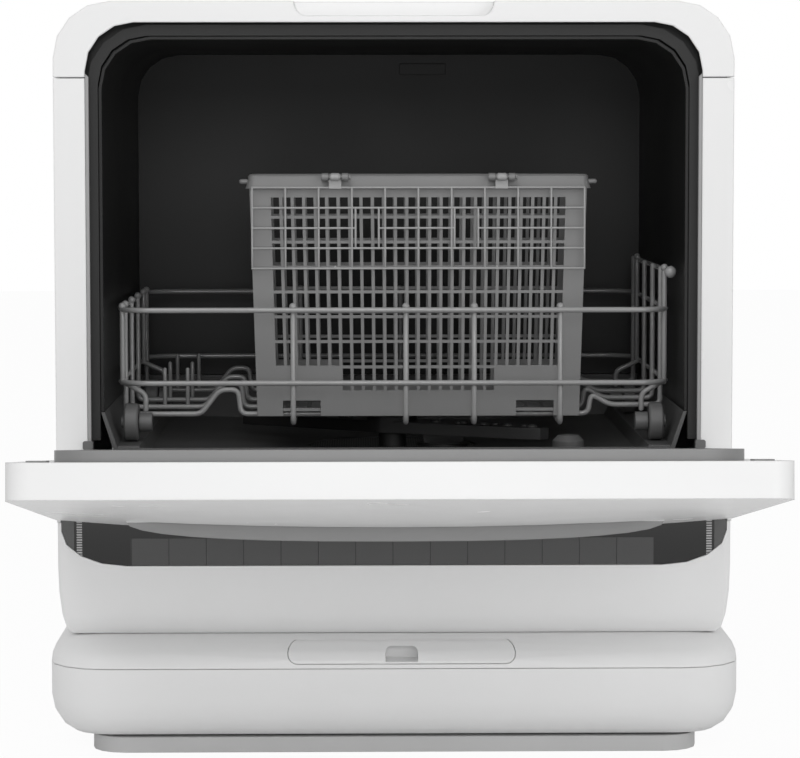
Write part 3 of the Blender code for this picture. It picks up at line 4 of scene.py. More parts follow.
import bmesh
import bpy
import numpy as np
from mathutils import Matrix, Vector


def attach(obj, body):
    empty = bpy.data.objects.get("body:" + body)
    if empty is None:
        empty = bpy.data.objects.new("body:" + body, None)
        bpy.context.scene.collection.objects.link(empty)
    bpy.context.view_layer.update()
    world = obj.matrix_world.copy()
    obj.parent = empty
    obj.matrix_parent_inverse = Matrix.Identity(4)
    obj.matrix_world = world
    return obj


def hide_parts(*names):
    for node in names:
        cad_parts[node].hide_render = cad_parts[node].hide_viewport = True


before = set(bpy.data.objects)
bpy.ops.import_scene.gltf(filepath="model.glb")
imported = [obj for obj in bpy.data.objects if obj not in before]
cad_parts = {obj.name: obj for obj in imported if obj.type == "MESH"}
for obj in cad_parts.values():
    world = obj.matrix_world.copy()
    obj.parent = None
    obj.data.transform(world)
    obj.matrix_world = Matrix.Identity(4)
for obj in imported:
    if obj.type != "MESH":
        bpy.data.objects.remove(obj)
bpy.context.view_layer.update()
print("frame loaded with", len(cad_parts), "nodes")

millimetre = 0.001
bevelSamples = 4


# Colours, nodes and materials

# sRGB hex to linear: below 0.04045 it is divided by 12.92,
# above it is ((c + 0.055) / 1.055) to the power 2.4
def linearColour(code):
    channels = np.array([int(code[k:k + 2], 16) for k in (1, 3, 5)]) / 255
    linear = np.where(channels <= 0.04045, channels / 12.92, ((channels + 0.055) / 1.055) ** 2.4)
    return (*[float(value) for value in linear], 1.0)


def addNode(tree, kind, inputs=None, **settings):
    made = tree.nodes.new(kind)
    for key, value in settings.items():
        setattr(made, key, value)
    for key, value in (inputs or {}).items():
        if isinstance(value, bpy.types.NodeSocket):
            tree.links.new(value, made.inputs[key])
        else:
            made.inputs[key].default_value = value
    return made


def newMaterial(name, colour, roughness, metallic=0.0, ior=1.5):
    material = bpy.data.materials.new(name)
    material.use_nodes = True
    tree = material.node_tree
    shader = tree.nodes["Principled BSDF"]
    shader.inputs["Base Color"].default_value = linearColour(colour)
    shader.inputs["Roughness"].default_value = roughness
    shader.inputs["Metallic"].default_value = metallic
    if metallic == 0:
        shader.inputs["IOR"].default_value = ior
    return material, tree, shader


# Lays tones over one another, each as far as its share goes
def layered(tree, under, *layers):
    for tone, share in layers:
        under = addNode(tree, "ShaderNodeMix", {0: share, 6: under, 7: linearColour(tone)},
                        data_type="RGBA").outputs[2]
    return under


# One where every value lies between its two edges and nothing elsewhere: the steps at the edges, multiplied
def withinEdges(tree, *ranges):
    share = None
    for value, low, high in ranges:
        for comparison, edge in (("GREATER_THAN", low), ("LESS_THAN", high)):
            step = addNode(tree, "ShaderNodeMath", {0: value, 1: edge}, operation=comparison).outputs[0]
            if share is None:
                share = step
            else:
                share = addNode(tree, "ShaderNodeMath", {0: share, 1: step}, operation="MULTIPLY").outputs[0]
    return share


# A moulded plastic: two close tones in slow clouds, a fine spark-eroded grain, and softly rounded edges
def grainedPlastic(name, look):
    material, tree, shader = newMaterial(name, look["colour"], look["roughness"], ior=look["ior"])
    place = addNode(tree, "ShaderNodeTexCoord").outputs["Object"]
    clouds = addNode(tree, "ShaderNodeTexNoise",
                     {"Vector": place, "Scale": 1 / (look["cloudMm"] * millimetre),
                      "Detail": look["cloudDetail"]})
    tone = layered(tree, linearColour(look["colour"]), (look["otherTone"], clouds.outputs["Fac"]))
    tree.links.new(tone, shader.inputs["Base Color"])
    grain = addNode(tree, "ShaderNodeTexNoise",
                    {"Vector": place, "Scale": 1 / (look["grainMm"] * millimetre),
                     "Detail": look["grainDetail"]})
    spread = addNode(tree, "ShaderNodeMapRange",
                     {"Value": clouds.outputs["Fac"], 3: look["roughness"] - look["roughnessSpread"],
                      4: look["roughness"] + look["roughnessSpread"]})
    tree.links.new(spread.outputs[0], shader.inputs["Roughness"])
    edge = addNode(tree, "ShaderNodeBevel", {"Radius": look["edgeMm"] * millimetre}, samples=bevelSamples)
    bump = addNode(tree, "ShaderNodeBump", {"Height": grain.outputs["Fac"], "Strength": look["grainStrength"],
                                            "Distance": look["grainDepthMm"] * millimetre,
                                            "Normal": edge.outputs["Normal"]})
    tree.links.new(bump.outputs["Normal"], shader.inputs["Normal"])
    if "coat" in look:
        shader.inputs["Coat Weight"].default_value = look["coat"]
        shader.inputs["Coat Roughness"].default_value = look["coatRoughness"]
    return material


def plasticLook(colour, otherTone, roughness, **changes):
    look = {"colour": colour, "otherTone": otherTone, "roughness": roughness, "roughnessSpread": 0.04,
            "ior": 1.5, "cloudMm": 60, "cloudDetail": 3.0, "grainMm": 0.5, "grainDetail": 2.0,
            "grainDepthMm": 0.03, "grainStrength": 0.25, "edgeMm": 0.8}
    look.update(changes)
    return look


# Glossy injection-moulded ABS: bright, with a tight highlight and hardly any grain
shellAbs = grainedPlastic("abs_moulded_gloss", plasticLook("#F3F3F3", "#F0F0F0", 0.26, edgeMm=1.6,
                                                           grainStrength=0.1))
doorAbs = grainedPlastic("abs_moulded_door", plasticLook("#F1F1F1", "#EEEEEE", 0.26, edgeMm=1.2,
                                                         grainStrength=0.1))

# Painted shade under the door's heel: the box that is painted darker, and its grey
paintedHeelShade = {"front": -0.2640, "back": -0.2600, "half": 0.1625, "foot": 0.0, "highest": 0.1500,
            "tone": "#9A9A9A"}


# Painted shade: the ledge of the crescent lip and the heel under it are the same plastic painted darker, for
# the shade under the open door, in a box of space in Object coordinates
def paintHeelShade(material):
    tree = material.node_tree
    shader = tree.nodes["Principled BSDF"]
    place = addNode(tree, "ShaderNodeTexCoord").outputs["Object"]
    axes = addNode(tree, "ShaderNodeSeparateXYZ", {"Vector": place})
    ledge = withinEdges(tree, (axes.outputs["Y"], paintedHeelShade["front"], paintedHeelShade["back"]),
                        (axes.outputs["Z"], paintedHeelShade["foot"], paintedHeelShade["highest"]),
                        (axes.outputs["X"], -paintedHeelShade["half"], paintedHeelShade["half"]))
    under = shader.inputs["Base Color"].links[0].from_socket
    tree.links.new(layered(tree, under, (paintedHeelShade["tone"], ledge)), shader.inputs["Base Color"])


# Paints the shade under the door's heel into the door's colour
paintHeelShade(doorAbs)
# Satin moulded ABS of the base and fascia: the same white, a little softer
baseAbs = grainedPlastic("abs_moulded_satin", plasticLook("#F2F2F2", "#EEEEEE", 0.36, edgeMm=0.8,
                                                          grainStrength=0.15))
# Talc-filled polypropylene, spark-eroded grain: dull, slightly uneven grey
plinthPp = grainedPlastic("polypropylene_grained", plasticLook("#CCCCCC", "#C2C2C2", 0.55, grainMm=0.9,
                                                               grainStrength=0.4))
# Polypropylene of the wash tub: charcoal, satin, softly clouded where the resin flowed
tubPp = grainedPlastic("polypropylene_tub", plasticLook("#161616", "#202020", 0.36, ior=1.40, cloudMm=90,
                                                        grainMm=0.7, roughnessSpread=0.06))
# The basin's lower, paler shot of it
basinPp = grainedPlastic("polypropylene_basin", plasticLook("#4E4E4E", "#5A5A5A", 0.40, cloudMm=70,
                                                            grainMm=0.7))
# Extruded EPDM seal: near black, dull
sealEpdm = grainedPlastic("epdm_extruded", plasticLook("#202020", "#262626", 0.62, grainMm=0.35,
                                                       grainStrength=0.5))
# Moulded silicone pads: matt, no highlight
padRubber = grainedPlastic("silicone_rubber_pad", plasticLook("#3A3A3A", "#333333", 0.8, grainMm=0.6,
                                                              grainStrength=0.6))
# Black polypropylene of the sump and its post: plain, half matt
sumpPp = grainedPlastic("polypropylene_black", plasticLook("#1E1E1E", "#242424", 0.5))
# Spray arm: dark, satin, with rounder edges
armPp = grainedPlastic("polypropylene_spray_arm", plasticLook("#2A2A2A", "#333333", 0.36, edgeMm=1.0))
# Nozzles: a paler shot, so that the small domes stand out
nozzlePp = grainedPlastic("polypropylene_nozzle", plasticLook("#484848", "#525252", 0.3, edgeMm=0.3))
# Glass-filled nylon of pumps, heater and ports: grey, with the glass showing as grain
machineNylon = grainedPlastic("glass_filled_nylon", plasticLook("#464646", "#4E4E4E", 0.48, grainMm=0.8,
                                                                grainStrength=0.5))
# Moulded liner of the door and the dispenser on it: satin greys
linerPp = grainedPlastic("polypropylene_liner", plasticLook("#8E8E8E", "#868686", 0.36, cloudMm=80))
dispenserPp = grainedPlastic("polypropylene_dispenser", plasticLook("#7C7C7C", "#757575", 0.42))
# Moulded acetal of wheels and hinge blocks: waxy mid grey
wheelPom = grainedPlastic("acetal_moulded", plasticLook("#6E6E6E", "#666666", 0.45, edgeMm=0.5))
# Basket polypropylene: satin mid grey with fine rounded edges
basketPp = grainedPlastic("polypropylene_basket", plasticLook("#8A8A8A", "#808080", 0.40, grainMm=0.8,
                                                              edgeMm=0.3, cloudMm=40))
# The same polypropylene on the thin bars of the lid, painted paler than the basket as painted light, where
# the light catches the round edges
lidPp = grainedPlastic("polypropylene_lid", plasticLook("#B0B0B0", "#A4A4A4", 0.30, grainMm=0.8, edgeMm=0.2,
                                                        cloudMm=30))
# Nylon dipped over steel wire: waxy, thick at the welds
wireNylon = grainedPlastic("nylon_dipped_wire", plasticLook("#A2A2A2", "#949494", 0.24, cloudMm=18,
                                                            grainMm=1.6, grainStrength=0.15, edgeMm=0.3,
                                                            coat=0.5, coatRoughness=0.08))
# The thin pale strips at both sides of the tub's mouth
trimAbs = grainedPlastic("abs_moulded_trim", plasticLook("#A4A4A4", "#9A9A9A", 0.4, edgeMm=0.4))
# Moulded polycarbonate behind the window, and the lacquered board inside
guidePc = grainedPlastic("polycarbonate_diffuser", plasticLook("#6E6E6E", "#666666", 0.4))
boardFr4 = grainedPlastic("fr4_lacquered", plasticLook("#2F4A3A", "#2A4234", 0.4, cloudMm=12))


pressedSteel = {"tone": "#8C8C8C", "roughness": 0.38, "smoother": 0.08, "rougher": 0.12, "strokeMm": 0.4,
                "strokeDetail": 3.0, "lengthwise": 0.04, "edgeMm": 0.3, "strokeStrength": 0.2,
                "strokeDepthMm": 0.02}


# Rolled steel: long fine strokes along one direction make the highlight run across them
def brushedSteel(name, look):
    material, tree, shader = newMaterial(name, look["tone"], look["roughness"], metallic=1.0)
    place = addNode(tree, "ShaderNodeTexCoord").outputs["Object"]
    stretch = addNode(tree, "ShaderNodeMapping", {"Vector": place, "Scale": (look["lengthwise"], 1.0, 1.0)})
    strokes = addNode(tree, "ShaderNodeTexNoise",
                      {"Vector": stretch.outputs["Vector"], "Scale": 1 / (look["strokeMm"] * millimetre),
                       "Detail": look["strokeDetail"]})
    spread = addNode(tree, "ShaderNodeMapRange",
                     {"Value": strokes.outputs["Fac"], 3: look["roughness"] - look["smoother"],
                      4: look["roughness"] + look["rougher"]})
    tree.links.new(spread.outputs[0], shader.inputs["Roughness"])
    edge = addNode(tree, "ShaderNodeBevel", {"Radius": look["edgeMm"] * millimetre}, samples=bevelSamples)
    bump = addNode(tree, "ShaderNodeBump",
                   {"Height": strokes.outputs["Fac"], "Strength": look["strokeStrength"],
                    "Distance": look["strokeDepthMm"] * millimetre, "Normal": edge.outputs["Normal"]})
    tree.links.new(bump.outputs["Normal"], shader.inputs["Normal"])
    return material


hingeSteel = brushedSteel("steel_pressed_zinc", pressedSteel)

filterSheet = {"tone": "#9A9A9A", "holeTone": "#0C0C0C", "roughness": 0.32, "pitchMm": 1.6,
               "holeEdge": (0.26, 0.32), "rimStrength": 0.6, "rimDepthMm": 0.3}


# Stainless sheet with round holes: a regular field of dark dots, a pitch apart
def perforatedSteel(name, look):
    material, tree, shader = newMaterial(name, look["tone"], look["roughness"], metallic=1.0)
    place = addNode(tree, "ShaderNodeTexCoord").outputs["Object"]
    holes = addNode(tree, "ShaderNodeTexVoronoi",
                    {"Vector": place, "Scale": 1 / (look["pitchMm"] * millimetre), "Randomness": 0.0},
                    voronoi_dimensions="2D")
    inner, outer = look["holeEdge"]
    edge = addNode(tree, "ShaderNodeMapRange", {"Value": holes.outputs["Distance"], 1: inner, 2: outer})
    tone = layered(tree, linearColour(look["holeTone"]), (look["tone"], edge.outputs[0]))
    tree.links.new(tone, shader.inputs["Base Color"])
    bump = addNode(tree, "ShaderNodeBump", {"Height": edge.outputs[0], "Strength": look["rimStrength"],
                                            "Distance": look["rimDepthMm"] * millimetre})
    tree.links.new(bump.outputs["Normal"], shader.inputs["Normal"])
    return material


filterSteel = perforatedSteel("stainless_perforated", filterSheet)

windowPrint = {"tone": "#161616", "roughness": 0.08, "ior": 1.49, "edgeBand": (0.1995, 0.2086),
               "edgeTone": "#585858", "dotBand": (0.1945, 0.1979), "dotTone": "#B4B4B4", "dotPitch": 0.0016,
               "dotShare": 0.62, "stripHeights": (0.1151, 0.1324), "stripHalf": 0.1630,
               "stripMiddle": -0.0013, "stripTone": "#4A4A4A", "cellPitch": 0.02326, "cellGap": 0.0005,
               "wavesPerMetre": 30.0, "waveDetail": 1.0, "waveStrength": 0.05, "waveDepthMm": 0.2}


# Tinted PMMA, dark and mirror-smooth, printed behind: edge bands, dotted bands and a paler strip of cells
def smokedAcrylic(name, look):
    material, tree, shader = newMaterial(name, look["tone"], look["roughness"], ior=look["ior"])
    place = addNode(tree, "ShaderNodeTexCoord").outputs["Object"]
    axes = addNode(tree, "ShaderNodeSeparateXYZ", {"Vector": place})
    across, up = axes.outputs["X"], axes.outputs["Z"]
    reach = addNode(tree, "ShaderNodeMath", {0: across}, operation="ABSOLUTE").outputs[0]
    rise = addNode(tree, "ShaderNodeMath", {0: up, 1: look["dotPitch"]},
                   operation="FLOORED_MODULO").outputs[0]
    shifted = addNode(tree, "ShaderNodeMath", {0: across, 1: look["stripMiddle"]},
                      operation="SUBTRACT").outputs[0]
    cell = addNode(tree, "ShaderNodeMath", {0: shifted, 1: look["cellPitch"]},
                   operation="FLOORED_MODULO").outputs[0]
    bands = withinEdges(tree, (reach, *look["edgeBand"]))
    dots = withinEdges(tree, (reach, *look["dotBand"]), (rise, 0.0, look["dotPitch"] * look["dotShare"]))
    strip = withinEdges(tree, (up, *look["stripHeights"]), (shifted, -look["stripHalf"], look["stripHalf"]),
                        (cell, look["cellGap"], look["cellPitch"]))
    tone = layered(tree, linearColour(look["tone"]), (look["edgeTone"], bands), (look["dotTone"], dots),
                   (look["stripTone"], strip))
    tree.links.new(tone, shader.inputs["Base Color"])
    waves = addNode(tree, "ShaderNodeTexNoise", {"Vector": place, "Scale": look["wavesPerMetre"],
                                                 "Detail": look["waveDetail"]})
    bump = addNode(tree, "ShaderNodeBump", {"Height": waves.outputs["Fac"], "Strength": look["waveStrength"],
                                            "Distance": look["waveDepthMm"] * millimetre})
    tree.links.new(bump.outputs["Normal"], shader.inputs["Normal"])
    return material


windowAcrylic = smokedAcrylic("acrylic_smoked", windowPrint)

tankWall = {"tone": "#C2C8CC", "otherTone": "#B4BCC0", "roughness": 0.3, "soak": 0.3, "soakMm": 4,
            "cloudMm": 40, "cloudDetail": 2.0}


# Unfilled polypropylene of the tank: pale, milky, lets light soak in
def milkyPlastic(name, look):
    material, tree, shader = newMaterial(name, look["tone"], look["roughness"])
    shader.inputs["Subsurface Weight"].default_value = look["soak"]
    shader.inputs["Subsurface Radius"].default_value = [look["soakMm"] * millimetre] * 3
    place = addNode(tree, "ShaderNodeTexCoord").outputs["Object"]
    clouds = addNode(tree, "ShaderNodeTexNoise",
                     {"Vector": place, "Scale": 1 / (look["cloudMm"] * millimetre),
                      "Detail": look["cloudDetail"]})
    tone = layered(tree, linearColour(look["tone"]), (look["otherTone"], clouds.outputs["Fac"]))
    tree.links.new(tone, shader.inputs["Base Color"])
    return material


tankPp = milkyPlastic("polypropylene_natural", tankWall)


# Which finish each CAD node takes

ends = [f"{end}_{side}" for end in ("front", "rear") for side in ("left", "right")]
finishes = {
    shellAbs: ["top_cover", "left_panel", "right_panel", "rear_cover"],
    doorAbs: ["door_outer"],
    baseAbs: ["base_pan", "base_shoulder", "fill_cover", "lower_housing"],
    plinthPp: ["plinth"],
    padRubber: [f"foot_pad_{end}" for end in ends],
    windowAcrylic: ["smoked_window"],
    guidePc: ["light_guide"],
    boardFr4: ["control_board"],
    tubPp: ["tub", "air_vent"],
    basinPp: ["tub_basin", "float_housing"],
    sealEpdm: ["door_gasket"],
    sumpPp: ["sump", "spray_post"],
    filterSteel: ["flat_filter"],
    armPp: ["spray_arm", "filter_cup"],
    machineNylon: ["wash_pump", "flow_heater", "drain_pump", "drying_fan", "water_inlet_port", "drain_port",
                   "cord_gland"],
    tankPp: ["water_tank", "fill_tray", "air_break"],
    linerPp: ["door_liner"],
    dispenserPp: ["dispenser_body", "dispenser_lid"],
    hingeSteel: ["hinge_bracket_left", "hinge_bracket_right", "hinge_pin_left", "hinge_pin_right"],
    wireNylon: ["rack_frame"],
    wheelPom: [f"{kind}_{end}" for kind in ("wheel", "wheel_carrier") for end in ends],
    basketPp: ["cutlery_basket", "basket_lid", "lid_pin_left", "lid_pin_right"],
}
smoothing = {"mergeMm": 0.002, "nodeDegrees": 34, "pieceDegrees": 40}


# Merges the loose triangles and shades them smooth, except over edges sharper than the angle
def smoothingGroup(angle):
    group = bpy.data.node_groups.new("smooth_facets", "GeometryNodeTree")
    group.interface.new_socket("Geometry", in_out="INPUT", socket_type="NodeSocketGeometry")
    group.interface.new_socket("Geometry", in_out="OUTPUT", socket_type="NodeSocketGeometry")
    start = addNode(group, "NodeGroupInput")
    merged = addNode(group, "GeometryNodeMergeByDistance",
                     {"Geometry": start.outputs[0], "Distance": smoothing["mergeMm"] * millimetre})
    bend = addNode(group, "GeometryNodeInputMeshEdgeAngle")
    gentle = addNode(group, "FunctionNodeCompare", {0: bend.outputs["Unsigned Angle"], 1: angle},
                     data_type="FLOAT", operation="LESS_THAN")
    faces = addNode(group, "GeometryNodeSetShadeSmooth", {"Geometry": merged.outputs[0]}, domain="FACE")
    edges = addNode(group, "GeometryNodeSetShadeSmooth", {"Geometry": faces.outputs[0],
                                                          "Shade Smooth": gentle.outputs[0]}, domain="EDGE")
    addNode(group, "NodeGroupOutput", {0: edges.outputs[0]})
    return group


smoothFacets = smoothingGroup(math.radians(smoothing["nodeDegrees"]))
for material, names in finishes.items():
    for name in names:
        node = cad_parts[name]
        node.data.materials.clear()
        node.data.materials.append(material)
        node.modifiers.new("smooth", "NODES").node_group = smoothFacets
print("finishes on the CAD nodes")


# New pieces: meshes from whole arrays, each a pair of corners and faces

alongX, alongY, alongZ = np.eye(3)
tube = {"sides": 12, "steps": 6, "thinSides": 10, "thinSteps": 5, "dippedDegrees": (70, 45, 20),
        "bendSteps": 7, "bendShare": 0.48, "poleAngle": 0.12}
cutDigits = 7  # cuts closer than this many decimals are one cut


# A piece from corner and face arrays: it rides on a body and may stand for CAD nodes
def newPiece(name, meshes, material, body, nodes=()):
    corners = []
    faces = []
    count = 0
    for points, polygons in meshes:
        corners.append(points)
        faces += [tuple(index + count for index in polygon) for polygon in polygons]
        count += len(points)
    mesh = bpy.data.meshes.new(name)
    mesh.from_pydata(np.concatenate(corners).tolist(), [], faces)
    shape = bmesh.new()
    shape.from_mesh(mesh)
    bmesh.ops.recalc_face_normals(shape, faces=shape.faces)
    shape.to_mesh(mesh)
    shape.free()
    mesh.materials.append(material)
    mesh.shade_smooth()
    mesh.set_sharp_from_angle(angle=math.radians(smoothing["pieceDegrees"]))
    piece = bpy.data.objects.new(name, mesh)
    bpy.context.scene.collection.objects.link(piece)
    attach(piece, body)
    for node in nodes:
        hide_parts(node)
    return piece


# Quads between neighbouring rings of equal length; open rows of rings are capped at both ends
def ringFaces(rings, length, loop=False):
    ring, place = np.meshgrid(np.arange(rings if loop else rings - 1), np.arange(length), indexing="ij")
    following = (place + 1) % length
    upper = (ring + 1) % rings
    quads = np.stack((ring * length + place, ring * length + following, upper * length + following,
                      upper * length + place), axis=-1).reshape(-1, 4)
    faces = [tuple(quad) for quad in quads.tolist()]
    if not loop:
        faces.append(tuple(range(length))[::-1])
        faces.append(tuple(range((rings - 1) * length, rings * length)))
    return faces


# A polyline whose inner corners become quadratic bends: (1 - t)^2 first + 2 t (1 - t) corner + t^2 last
def bentPath(corners, run):
    corners = [np.array(corner, dtype=float) for corner in corners]
    path = [corners[0][None]]
    share = np.linspace(0, 1, tube["bendSteps"])[:, None]
    for before, corner, after in zip(corners, corners[1:], corners[2:]):
        back = before - corner
        ahead = after - corner
        first = corner + back * min(run / np.linalg.norm(back), tube["bendShare"])
        last = corner + ahead * min(run / np.linalg.norm(ahead), tube["bendShare"])
        path.append((1 - share) ** 2 * first + 2 * share * (1 - share) * corner + share ** 2 * last)
    path.append(corners[-1][None])
    return np.concatenate(path)


# A wire in one plane: circles round a path, turned by the path's direction and the plane's normal;
# open ends draw in by the cosine of three angles, like a cut end dipped in nylon
def wire(path, radius, normal, closed=False, sides=tube["sides"]):
    path = np.asarray(path, dtype=float)
    if closed:
        along = np.roll(path, -1, axis=0) - np.roll(path, 1, axis=0)
        radii = np.full(len(path), radius)
    else:
        along = np.gradient(path, axis=0)
        along /= np.linalg.norm(along, axis=1)[:, None]
        draw = np.radians(tube["dippedDegrees"])
        count = len(draw)
        inset = radius * (1 - np.sin(draw))[:, None]
        start, finish = along[0], along[-1]
        along = np.concatenate((np.tile(start, (count, 1)), along[1:-1], np.tile(finish, (count, 1))))
        path = np.concatenate((path[0] + start * inset, path[1:-1], (path[-1] - finish * inset)[::-1]))
        tips = radius * np.cos(draw)
        radii = np.concatenate((tips, np.full(len(path) - 2 * count, radius), tips[::-1]))
    along = along / np.linalg.norm(along, axis=1)[:, None]
    up = np.tile(np.asarray(normal, dtype=float), (len(path), 1))
    across = np.cross(along, up)
    angle = 2 * np.pi * np.arange(sides) / sides
    circle = across[:, None] * np.cos(angle)[None, :, None] + up[:, None] * np.sin(angle)[None, :, None]
    corners = path[:, None] + circle * radii[:, None, None]
    return corners.reshape(-1, 3), ringFaces(len(path), sides, closed)


# A straight wire between two points, cut into equal steps
def rod(start, end, radius, normal, steps=tube["steps"], sides=tube["sides"]):
    return wire(np.linspace(start, end, steps), radius, normal, sides=sides)


# A ball: rings of latitude from pole to pole, the poles closed by small caps
def ball(centre, radius, sides=12, rings=7):
    polar = np.linspace(tube["poleAngle"], np.pi - tube["poleAngle"], rings)
    turn = 2 * np.pi * np.arange(sides) / sides
    spread = np.sin(polar)[:, None]
    corners = np.stack((spread * np.cos(turn), spread * np.sin(turn),
                        np.repeat(np.cos(polar)[:, None], sides, axis=1)), axis=-1)
    return corners.reshape(-1, 3) * radius + np.asarray(centre), ringFaces(rings, sides)


# A rounded rectangle round the origin: quarter circles at the four corners
def rectangleLoop(half, depth, radius, steps=8):
    angle = np.linspace(0, np.pi / 2, steps)
    quarter = np.stack((np.cos(angle), np.sin(angle)), axis=-1) * radius
    inner = np.array((half - radius, depth - radius))
    turns = [(1, 1, False), (-1, 1, True), (-1, -1, False), (1, -1, True)]
    parts = [((quarter[::-1] if flip else quarter) + inner) * (across, along)
             for across, along, flip in turns]
    return np.concatenate(parts)


# A flat loop laid level round a middle at one height
def levelLoop(loop, middle, height):
    return np.stack((loop[:, 0] + middle[0], loop[:, 1] + middle[1], np.full(len(loop), height)), axis=-1)


# A sheet with rectangular cells cut out: a grid of cuts, full squares kept, walls where full meets open
def lattice(outline, cells, thickness):
    cells = np.array(cells)
    left, right, low, high = outline
    across = np.unique(np.round(np.concatenate(([left, right], cells[:, 0], cells[:, 1])), cutDigits))
    upward = np.unique(np.round(np.concatenate(([low, high], cells[:, 2], cells[:, 3])), cutDigits))
    middleX = ((across[1:] + across[:-1]) / 2)[:, None, None]
    middleZ = ((upward[1:] + upward[:-1]) / 2)[None, :, None]
    inside = ((middleX > cells[:, 0]) & (middleX < cells[:, 1])
              & (middleZ > cells[:, 2]) & (middleZ < cells[:, 3]))
    solid = ~inside.any(axis=-1)
    x, z = np.meshgrid(across, upward, indexing="ij")
    corners = np.concatenate([np.stack((x, np.full_like(x, depth), z), axis=-1).reshape(-1, 3)
                              for depth in (0, thickness)])
    number = np.arange(x.size).reshape(x.shape)
    column, row = np.nonzero(solid)
    front = np.stack((number[column, row], number[column + 1, row], number[column + 1, row + 1],
                      number[column, row + 1]), axis=-1)
    groups = [front, front + x.size]
    full = np.pad(solid, 1)
    column, row = np.nonzero(full[:-1, 1:-1] != full[1:, 1:-1])
    near, far = number[column, row], number[column, row + 1]
    groups.append(np.stack((near, far, far + x.size, near + x.size), axis=-1))
    column, row = np.nonzero(full[1:-1, :-1] != full[1:-1, 1:])
    near, far = number[column, row], number[column + 1, row]
    groups.append(np.stack((near, far, far + x.size, near + x.size), axis=-1))
    used, renumbered = np.unique(np.concatenate(groups), return_inverse=True)
    return corners[used], [tuple(face) for face in renumbered.reshape(-1, 4).tolist()]


# A flat plate from an outline in one plane, between two depths along the third axis
def plate(outline, axis, near, far):
    outline = np.asarray(outline, dtype=float)
    loops = [np.insert(outline, axis, depth, axis=1) for depth in (near, far)]
    return np.concatenate(loops), ringFaces(2, len(outline))


# Rack

rack = {"halfWidth": 0.17375, "front": -0.17025, "back": 0.08725, "cornerRadius": 0.022, "cornerSteps": 12,
        "railHeights": (0.273, 0.227), "wireRadius": 0.00175, "postHalf": 0.17165, "postInset": 0.0021,
        "postTop": 0.2751, "dropRadius": 0.0025, "longHeight": 0.2015, "longBend": 0.006,
        "longPlaces": (-0.0635, 0.0076, 0.0507, 0.105), "crossHeight": 0.2045, "crossBend": 0.0045,
        "crossPlaces": (-0.133, -0.078, -0.020, 0.064), "humpFrom": -0.1115, "humpTo": -0.0995,
        "humpHeight": 0.220, "stepPlace": 0.127, "stepHeight": 0.217, "slopeRun": 0.012,
        "shelfHeight": 0.210, "shortPosts": (-0.158, 0.036), "shortFoot": 0.2249,
        "hoopTop": 0.299, "hoopHeight": 0.2969, "hoopReach": 0.0035, "hoopBall": 0.0038, "hoopSides": 18,
        "hoopRings": 11, "stems": (-0.160, 0.036), "stemReaches": (0.1704, 0.17375), "stemBend": 0.004,
        "stemFoot": 0.2081, "knee": 0.157, "kneeHeight": 0.2195,
        "tinePlaces": (-0.150, -0.135, -0.080), "tineTop": 0.2305, "tineSink": 0.0006, "tineRadius": 0.0014}


# Welded wires: two closed rails, long wires bent up at both ends, cross wires over a hump and a step,
# short posts, a hoop with a ball tip, stems down to the wheels and tines, each a circle along its path
def makeRack():
    radius, low, half = rack["wireRadius"], rack["crossHeight"], rack["postHalf"]
    upperRail, lowerRail = rack["railHeights"]
    middle = (rack["front"] + rack["back"]) / 2
    depth = (rack["back"] - rack["front"]) / 2
    loop = rectangleLoop(rack["halfWidth"], depth, rack["cornerRadius"], rack["cornerSteps"])
    meshes = [wire(levelLoop(loop, (0, middle), height), radius, alongZ, closed=True)
              for height in (upperRail, lowerRail)]
    near, far = rack["front"] + rack["postInset"], rack["back"] - rack["postInset"]
    for place in rack["longPlaces"]:
        corners = [(place, near, rack["postTop"]), (place, near, rack["longHeight"]),
                   (place, far, rack["longHeight"]), (place, far, rack["postTop"])]
        meshes.append(wire(bentPath(corners, rack["longBend"]), radius, alongX))
        meshes += [ball((place, end, rack["postTop"]), rack["dropRadius"]) for end in (near, far)]
    for place in rack["crossPlaces"]:
        profile = [(-half, rack["postTop"]), (-half, low), (rack["humpFrom"] - rack["slopeRun"], low),
                   (rack["humpFrom"], rack["humpHeight"]), (rack["humpTo"], rack["humpHeight"]),
                   (rack["humpTo"] + radius, low), (rack["stepPlace"] - radius, low),
                   (rack["stepPlace"], rack["stepHeight"]),
                   (rack["stepPlace"] + rack["slopeRun"], rack["shelfHeight"]),
                   (half, rack["shelfHeight"]), (half, rack["hoopTop"])]
        corners = [(across, place, up) for across, up in profile]
        meshes.append(wire(bentPath(corners, rack["crossBend"]), radius, alongY))
        meshes.append(ball((-half, place, rack["postTop"]), rack["dropRadius"]))
    for place in rack["shortPosts"]:
        for side, top in ((-1, rack["postTop"]), (1, rack["hoopTop"])):
            tip = (side * half, place, top)
            meshes.append(rod((side * half, place, rack["shortFoot"]), tip, radius, alongY))
            meshes.append(ball(tip, rack["dropRadius"]))
    tip = (rack["halfWidth"], rack["front"] - rack["hoopReach"], rack["hoopHeight"])
    end = (rack["halfWidth"], rack["back"] - rack["cornerRadius"], rack["hoopHeight"])
    meshes.append(rod(tip, end, radius, alongZ))
    meshes.append(ball(tip, rack["hoopBall"], rack["hoopSides"], rack["hoopRings"]))
    for side in (-1, 1):
        for place, reach in zip(rack["stems"], rack["stemReaches"]):
            corners = [(side * reach, place, lowerRail), (side * rack["knee"], place, rack["kneeHeight"]),
                       (side * rack["knee"], place, rack["stemFoot"])]
            meshes.append(wire(bentPath(corners, rack["stemBend"]), radius, alongY))
    for place in rack["crossPlaces"][1:]:
        for across in rack["tinePlaces"]:
            meshes.append(rod((across, place, low - rack["tineSink"]), (across, place, rack["tineTop"]),
                              rack["tineRadius"], alongY, tube["thinSteps"], tube["thinSides"]))
    return newPiece("rackWires", meshes, wireNylon, "rack", ["rack_frame"])


makeRack()
print("rack wires")


# Cutlery basket and its lid

